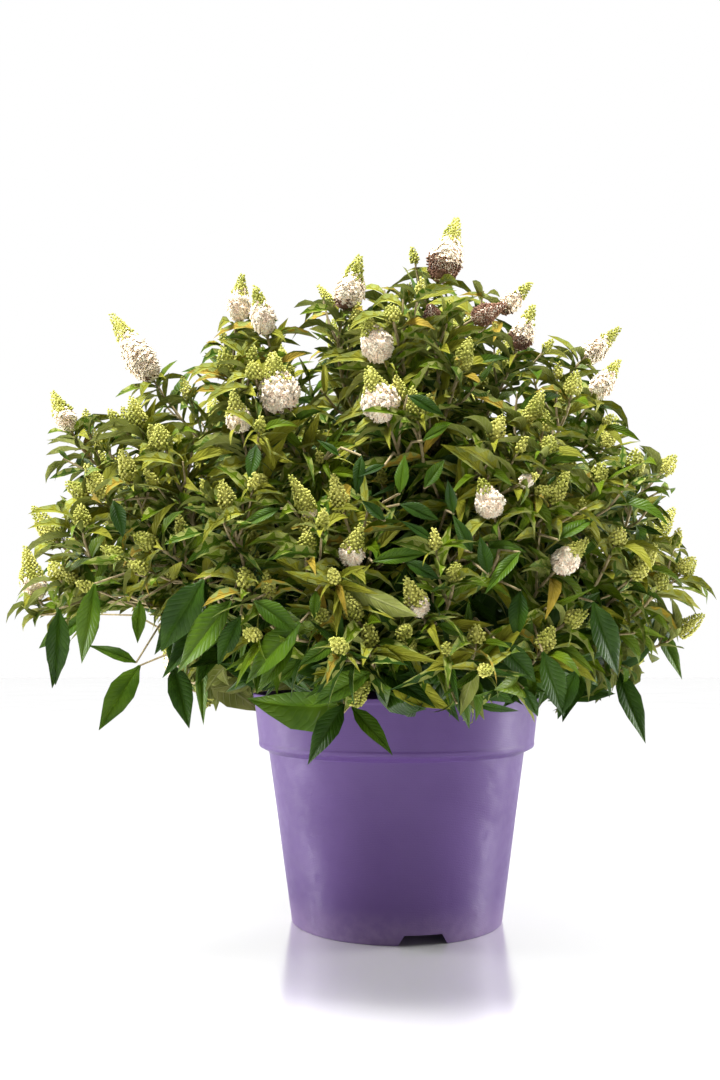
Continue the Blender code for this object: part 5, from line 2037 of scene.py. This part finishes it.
@dataclass
class Pot:
    """The nursery pot: a tapered body under a tall rim band, on a foot ring with drain slots."""

    rim_radius: float = 0.115
    height: float = 0.1762
    band_foot_radius: float = 0.1095
    band_foot_height: float = 0.136
    body_top_radius: float = 0.1019
    body_top_height: float = 0.1309
    foot_radius: float = 0.0828
    wall: float = 0.0014
    lip_wall: float = 0.0022
    centre_radius: float = 0.044
    channel_top: float = 0.0078
    channel_slope: float = 0.002
    edge_round: float = 0.0012
    segments: int = 144
    slot_count: int = 3
    slot_azimuth: float = math.radians(-78.5)
    slot_height: float = 0.0075
    slot_widths: Place = (0.037, 0.028)
    slot_drop: float = 0.002
    slot_depth: float = 0.010
    hole_count: int = 6
    hole_radius: float = 0.004
    hole_segments: int = 24
    lip_height: float = 0.0042
    lip_step: float = 0.0005
    seam_height: float = 0.0022
    seam_step: float = 0.00035
    seam_half: float = 0.0006
    lip_chamfer: float = 0.0008
    corner_share: float = 0.8
    corner_steps: int = 3
    sharp_angle: float = math.radians(32)

    def inner_radius(self, height: float) -> float:
        """The radius of the inner wall at a height."""
        stations = (
            (0.0, self.foot_radius - self.wall),
            (self.body_top_height, self.body_top_radius - self.wall),
            (self.band_foot_height, self.band_foot_radius - self.wall),
            (self.height, self.rim_radius - self.lip_wall),
        )
        return station(stations, height)

    def inside(self, clearance: float) -> list[Place]:
        """The inside from the middle of the floor up to the rim band.

        Args:
            clearance: How far off the wall it is.

        Returns:
            Its points of (radius, height).
        """
        floor = self.channel_top + self.wall
        edge = self.centre_radius - self.wall - clearance
        profile = [(0.0, self.wall + clearance), (edge, self.wall + clearance)]
        profile.append((edge + self.channel_slope, floor + clearance))
        profile.append((self.inner_radius(floor) - clearance, floor + clearance))
        for height in (self.body_top_height, self.band_foot_height):
            profile.append((self.inner_radius(height) - clearance, height))
        return profile

    def _outer(self, height: float) -> float:
        """The radius of the rim band's outside at a height, in a straight line from foot to rim."""
        share = (height - self.band_foot_height) / (self.height - self.band_foot_height)
        return mix(self.band_foot_radius, self.rim_radius, share)

    def _profile(self) -> list[Place]:
        """The whole section: underside, outside, lip and inside."""
        foot_inside = self.foot_radius - self.wall - self.edge_round
        lip = self.height - self.lip_height
        seam = self.band_foot_height + self.seam_height
        profile = [
            (0.0, 0.0),
            (self.centre_radius, 0.0),
            (self.centre_radius + self.channel_slope, self.channel_top),
            (foot_inside, self.channel_top),
            (foot_inside, 0.0),
            (self.foot_radius, 0.0),
            (self.body_top_radius, self.body_top_height),
            (self.band_foot_radius, self.band_foot_height - self.edge_round),
            (self._outer(seam) + self.seam_step, seam - self.seam_half),
            (self._outer(seam), seam + self.seam_half),
            (self._outer(lip) - self.lip_step, lip),
            (self._outer(lip + self.lip_chamfer), lip + self.lip_chamfer),
            (self.rim_radius, self.height),
            (self.rim_radius - self.lip_wall, self.height),
            *self.inside(0.0)[::-1],
        ]
        return softened(profile, self.edge_round * self.corner_share, self.corner_steps)

    def build(self, finishes: Finishes) -> None:
        """Turns the pot, cuts its slots and holes, and coats it.

        Args:
            finishes: The materials.
        """
        turned_mesh = new_mesh("nursery_pot", *lathe(self._profile(), self.segments))
        pot = new_object("nursery_pot", turned_mesh)
        for step in range(self.slot_count):
            turn = math.tau * step / self.slot_count
            self._cut(pot, self._slot_cutter(self.slot_azimuth + turn))
        for step in range(self.hole_count):
            turn = math.tau * (step + 0.5) / self.hole_count
            self._cut(pot, self._hole_cutter(self.slot_azimuth + turn))
        pot.data.materials.clear()
        pot.data.materials.append(finishes.violet)
        pot.data.shade_smooth()
        pot.data.set_sharp_from_angle(angle=self.sharp_angle)
        hand_over(pot, ["pot"])

    def _slot_cutter(self, azimuth: float) -> Mesh:
        """The solid of one drain slot, wider at its foot.

        Args:
            azimuth: Which way it faces.

        Returns:
            Its mesh.
        """
        drop = self.slot_drop
        spread = (self.slot_widths[0] - self.slot_widths[1]) / self.slot_height * drop
        low, high = (self.slot_widths[0] + spread) / 2, self.slot_widths[1] / 2
        points = []
        for reach in (self.foot_radius - self.slot_depth, self.foot_radius + self.slot_depth):
            points += [(reach, -low, -drop), (reach, low, -drop)]
            points += [(reach, high, self.slot_height), (reach, -high, self.slot_height)]
        faces = [(3, 2, 1, 0), (4, 5, 6, 7), (0, 1, 5, 4), (1, 2, 6, 5), (2, 3, 7, 6), (3, 0, 4, 7)]
        turn = Matrix.Rotation(azimuth, 4, "Z")
        return new_mesh("slot", [turn @ Vector(p) for p in points], faces)

    def _hole_cutter(self, azimuth: float) -> Mesh:
        """The solid of one round drain hole."""
        reach = (self.centre_radius + self.foot_radius) / 2
        low, high = self.channel_top - self.wall, self.channel_top + 2 * self.wall
        profile = [(0.0, low), (self.hole_radius, low), (self.hole_radius, high), (0.0, high)]
        points, faces = lathe(profile, self.hole_segments)
        offset = Vector((reach * math.cos(azimuth), reach * math.sin(azimuth), 0.0))
        return new_mesh("hole", [Vector(p) + offset for p in points], faces)

    @staticmethod
    def _cut(pot: Object, mesh: Mesh) -> None:
        """Takes a solid away from the pot."""
        cutter = new_object("cutter", mesh)
        modifier = pot.modifiers.new("cut", "BOOLEAN")
        modifier.operation, modifier.solver, modifier.object = "DIFFERENCE", "EXACT", cutter
        result = evaluated_mesh(pot)
        pot.modifiers.clear()
        pot.data = result
        bpy.data.objects.remove(cutter)


@dataclass
class Soil:
    """The potting soil: a root ball that fills the pot, with a crumbly top."""

    pot: Pot
    top: float = 0.160
    rings: int = 30
    segments: int = 96
    lump_height: float = 0.0022
    lump_scale: float = 70.0
    crumbs: int = 900
    crumb_sizes: Place = (0.0012, 0.0042)
    crumb_shapes: int = 4
    crumb_tilt: float = 0.5
    crumb_height: float = 0.6
    shoulder: float = 0.004
    seed: int = 5

    def build(self, finishes: Finishes, scatter: ScatterTree) -> None:
        """Makes the ball and its loose crumbs.

        Args:
            finishes: The materials.
            scatter: The tree that puts shapes on points.
        """
        edge = self.pot.inner_radius(self.top) - 2 * GAP
        profile = self.pot.inside(2 * GAP)
        profile += [(edge * (1.0 - step / self.rings), self.top) for step in range(self.rings + 1)]
        points, faces = lathe(profile, self.segments)
        raised = []
        for point in points:
            here = Vector(point)
            radius = math.hypot(here.x, here.y)
            if here.z > self.top - GAP and radius < edge - GAP:
                here.z += self._lump(here) * min(1.0, (edge - radius) / self.shoulder)
            raised.append(here)
        ball = new_object("potting_soil", new_mesh("potting_soil", raised, faces))
        ball.data.materials.append(finishes.earth)
        ball.data.shade_smooth()
        hand_over(ball, ["soil"])
        for piece in self._crumb_crowd(edge - self.shoulder, finishes.earth).build(scatter):
            hand_over(piece, ["soil"])

    def _crumb_crowd(self, edge: float, coat: Material) -> Scatter:
        """The loose crumbs, more of them small than large.

        Args:
            edge: How far from the middle they may lie.
            coat: Their material.

        Returns:
            The crowd of them.
        """
        shapes = [self._crumb(number) for number in range(self.crumb_shapes)]
        crowd = Scatter("soil_crumbs", shapes, coat, coat)
        rng = random.Random(self.seed)
        for _ in range(self.crumbs):
            turn, reach = rng.uniform(0.0, math.tau), edge * math.sqrt(rng.random())
            place = Vector((reach * math.cos(turn), reach * math.sin(turn), self.top))
            place.z += self._lump(place)
            tilt = self.crumb_tilt
            facing = Vector((rng.gauss(0, tilt), rng.gauss(0, tilt), 1.0)).normalized()
            length = mix(*self.crumb_sizes, rng.random() ** 3)
            ahead = square_to(Vector((math.cos(turn * 7), math.sin(turn * 7), 0)), facing)
            size = (length, length * rng.uniform(0.5, 1.0), length * self.crumb_height)
            crowd.add(place, ahead, facing, size, rng.randrange(self.crumb_shapes))
        return crowd

    def _lump(self, place: Vector) -> float:
        """How far the soil's top stands over its mean level."""
        coarse = noise.noise(place * self.lump_scale)
        fine = noise.noise(place * self.lump_scale * 3)
        return self.lump_height * (coarse + 0.5 * fine)

    @staticmethod
    def _crumb(number: int) -> Mesh:
        """A lump of peat with uneven sides."""
        points, faces = lathe([(0.0, -0.5), (0.42, -0.2), (0.46, 0.22), (0.0, 0.5)], 6)
        uneven = []
        for point in points:
            here = Vector(point)
            uneven.append(here * (1.0 + 0.5 * noise.noise(here * 2.3 + UP * number)))
        return new_mesh("crumb", uneven, faces)


@dataclass
class WoodyBase:
    """The short stem on the soil and the boughs that leave its knuckle, under old stringy bark."""

    rule: CrownRule
    soil_top: float = 0.160
    flare_radius: float = 0.019
    neck_radius: float = 0.0112
    stem_segments: int = 40
    bough_sides: int = 12
    bough_rings: int = 44
    bough_bow: float = 0.004
    sunk: float = 0.006
    # The root flare: shares of its radius, at heights over the stem's foot
    flare: tuple = ((0.98, 0.0), (0.86, 0.0025), (0.7, 0.005))
    foot_depth: float = 0.001
    neck: Place = (1.03, 0.009)
    knuckle_steps: int = 14
    collar_reach: float = 0.12
    collar_swell: float = 0.5
    ridge: float = 0.10
    ridge_scale: float = 260.0
    ridge_stretch: float = 0.25
    ridge_cap: float = 1.12

    def build(self, finishes: Finishes) -> None:
        """Makes stem and boughs as one piece with the bark's relief.

        Args:
            finishes: The materials.
        """
        points, faces = lathe(self._stem_profile(), self.stem_segments)
        points = [self._barked(Vector(p), Vector((0.0, 0.0, p[2]))) for p in points]
        for mass in self.rule.masses:
            own, own_faces = self._bough(mass)
            first = len(points)
            points += own
            faces += [[first + i for i in face] for face in own_faces]
        base = new_object("woody_base", new_mesh("woody_base", points, faces))
        base.data.materials.append(finishes.bark)
        base.data.shade_smooth()
        boughs = [f"{mass.name}_bough" for mass in self.rule.masses]
        hand_over(base, ["short_stem", *boughs])

    def _stem_profile(self) -> list[Place]:
        """The root flare, the neck and the knuckle."""
        base = self.soil_top - self.foot_depth
        profile = [(0.0, base)]
        profile += [(self.flare_radius * share, base + height) for share, height in self.flare]
        profile.append((self.neck_radius * self.neck[0], base + self.neck[1]))
        first = math.asin(self.neck_radius / KNUCKLE_RADIUS) - math.pi / 2
        for step in range(self.knuckle_steps):
            turn = mix(first, math.pi / 2, step / self.knuckle_steps)
            height = FORK.z + KNUCKLE_RADIUS * math.sin(turn)
            profile.append((KNUCKLE_RADIUS * math.cos(turn), height))
        return [*profile, (0.0, FORK.z + KNUCKLE_RADIUS)]

    def _barked(self, point: Vector, centre: Vector) -> Vector:
        """Moves a point of a limb in or out by the bark's long ridges.

        Args:
            point: The point.
            centre: The limb's middle beside it.

        Returns:
            The moved point.
        """
        drawn = Vector((point.x, point.y, point.z * self.ridge_stretch)) * self.ridge_scale
        relief = 1.0 + self.ridge * (noise.noise(drawn) + 0.5 * noise.noise(drawn * 2.7))
        return centre + (point - centre) * min(self.ridge_cap, relief)

    def _bough(self, mass: Mass) -> tuple[list, list]:
        """One tapering limb with a slight bow, from inside the knuckle to where the twigs start.

        Args:
            mass: The mass that it carries.

        Returns:
            Its points and faces.
        """
        upright = mass.axis.z > 0.95
        side = square_to(Vector((1.0, 0.0, 0.0)) if upright else mass.axis.cross(UP), mass.axis)
        other = mass.axis.cross(side)
        start = KNUCKLE_RADIUS - self.sunk
        points, faces = [], []
        for ring in range(self.bough_rings):
            place = ring / (self.bough_rings - 1)
            bow = side * (self.bough_bow * math.sin(math.pi * place) ** 2)
            centre = FORK + mass.axis * mix(start, BOUGH_REACH, place) + bow
            collar = max(0.0, self.collar_reach - place) / self.collar_reach
            radius = mix(*mass.radii, place) * (1.0 + self.collar_swell * collar)
            for step in range(self.bough_sides):
                turn = math.tau * step / self.bough_sides
                arm = side * math.cos(turn) + other * math.sin(turn)
                points.append(self._barked(centre + arm * radius, centre))
        count = self.bough_sides
        for ring in range(self.bough_rings - 1):
            for step in range(count):
                a, b = ring * count + step, ring * count + (step + 1) % count
                faces.append([a, b, b + count, a + count])
        last = (self.bough_rings - 1) * count
        faces.append(list(range(count))[::-1])
        faces.append(list(range(last, last + count)))
        return points, faces


@dataclass
class Studio:
    """A white sweep with a faint mirror in it, broad soft lights and the camera."""

    tilt: float = 0.1067
    lens: float = 35.06
    sensor: float = 36.0
    far_clip: float = 50.0
    floor_half: float = 8.0
    floor_white: Colour = (0.95, 0.95, 0.95)
    floor_metallic: float = 0.60
    floor_roughness: Place = (0.16, 0.20)
    cloud_scale: float = 4.0
    cloud_range: Place = (0.3, 0.7)
    sky: Place = (1.48, 0.02)
    dark_side: Place = (-0.10, 0.55)
    lamps: tuple = (
        ("left_bank", (-1.25, 0.15, 0.50), (0.0, 0.0, 0.22), (0.5, 1.2), 30.0),
        ("right_bank", (1.25, 0.15, 0.50), (0.0, 0.0, 0.22), (0.5, 1.2), 30.0),
        ("overhead", (-0.35, -0.60, 1.7), (0.0, 0.0, 0.35), (0.5, 0.35), 72.0),
    )

    def build(self) -> None:
        """Sets the floor, the sky, the lamps and the camera."""
        self._floor()
        scene = bpy.context.scene
        scene.world = self._sky()
        scene.view_settings.view_transform = "Standard"
        for name, place, target, size, power in self.lamps:
            self._lamp(name, Vector(place), Vector(target), size, power)
        lens = bpy.data.cameras.new("photo_camera")
        lens.lens, lens.sensor_width, lens.sensor_fit = self.lens, self.sensor, "AUTO"
        lens.clip_end = self.far_clip
        camera = bpy.data.objects.new("photo_camera", lens)
        camera.location = EYE
        camera.rotation_euler = (math.pi / 2 + self.tilt, 0.0, 0.0)
        scene.collection.objects.link(camera)
        scene.camera = camera

    def _sky(self) -> bpy.types.World:
        """A white room, whose soft light is held back on the side that the camera looks from."""
        world = bpy.data.worlds.new("studio_white")
        world.use_nodes = True
        graph = Graph(world.node_tree)
        way = graph.node("ShaderNodeSeparateXYZ", {0: graph.coordinate("Generated")})
        forward = graph.math("MULTIPLY", way.outputs[1], -1.0)
        shaded = graph.ramp(forward, *self.dark_side, *self.sky)
        soft = graph.node("ShaderNodeLightPath").outputs["Is Diffuse Ray"]
        held_back = graph.math("MULTIPLY", soft, shaded)
        strength = graph.math("ADD", held_back, graph.math("SUBTRACT", 1.0, soft))
        sky = world.node_tree.nodes["Background"]
        sky.inputs["Color"].default_value = (1.0, 1.0, 1.0, 1.0)
        graph.tree.links.new(strength, sky.inputs["Strength"])
        return world

    def _floor(self) -> None:
        """The pale glossy floor."""
        half = self.floor_half
        corners = [(x * half, y * half, 0.0) for x, y in ((-1, -1), (1, -1), (1, 1), (-1, 1))]
        floor = new_object("studio_floor", new_mesh("studio_floor", corners, [(0, 1, 2, 3)]))
        material = bpy.data.materials.new("studio_floor_white")
        material.use_nodes = True
        shader = material.node_tree.nodes["Principled BSDF"]
        shader.inputs["Base Color"].default_value = (*self.floor_white, 1.0)
        shader.inputs["Metallic"].default_value = self.floor_metallic
        graph = Graph(material.node_tree)
        noisy = {"Vector": graph.coordinate("Object"), "Scale": self.cloud_scale}
        cloud = graph.node("ShaderNodeTexNoise", noisy).outputs["Fac"]
        roughness = graph.ramp(cloud, *self.cloud_range, *self.floor_roughness)
        graph.tree.links.new(roughness, shader.inputs["Roughness"])
        floor.data.materials.append(material)

    @staticmethod
    def _lamp(name: str, place: Vector, target: Vector, size: Place, power: float) -> None:
        """One broad soft lamp that faces its target.

        Args:
            name: The lamp's name.
            place: Where it hangs.
            target: What it faces.
            size: Its width and height.
            power: Its power in watts.
        """
        light = bpy.data.lights.new(name, "AREA")
        light.shape = "RECTANGLE"
        light.size, light.size_y = size
        light.energy = power
        lamp = bpy.data.objects.new(name, light)
        lamp.location = place
        lamp.rotation_euler = (target - place).to_track_quat("-Z", "Y").to_euler()
        bpy.context.scene.collection.objects.link(lamp)


def main() -> None:
    """Builds the pot, the soil, the woody base, the crown and the studio, in that order."""
    logging.basicConfig(level=logging.INFO, format="%(name)s %(message)s")
    finishes = Finishes()
    scatter, twigs = ScatterTree(), TwigTree()
    pot = Pot()
    pot.build(finishes)
    Soil(pot).build(finishes, scatter)
    rule = CrownRule()
    WoodyBase(rule).build(finishes)
    crown = Crown(rule)
    crown.grow()
    crown.dress(finishes, scatter, twigs)
    Studio().build()


if __name__ == "__main__":
    main()
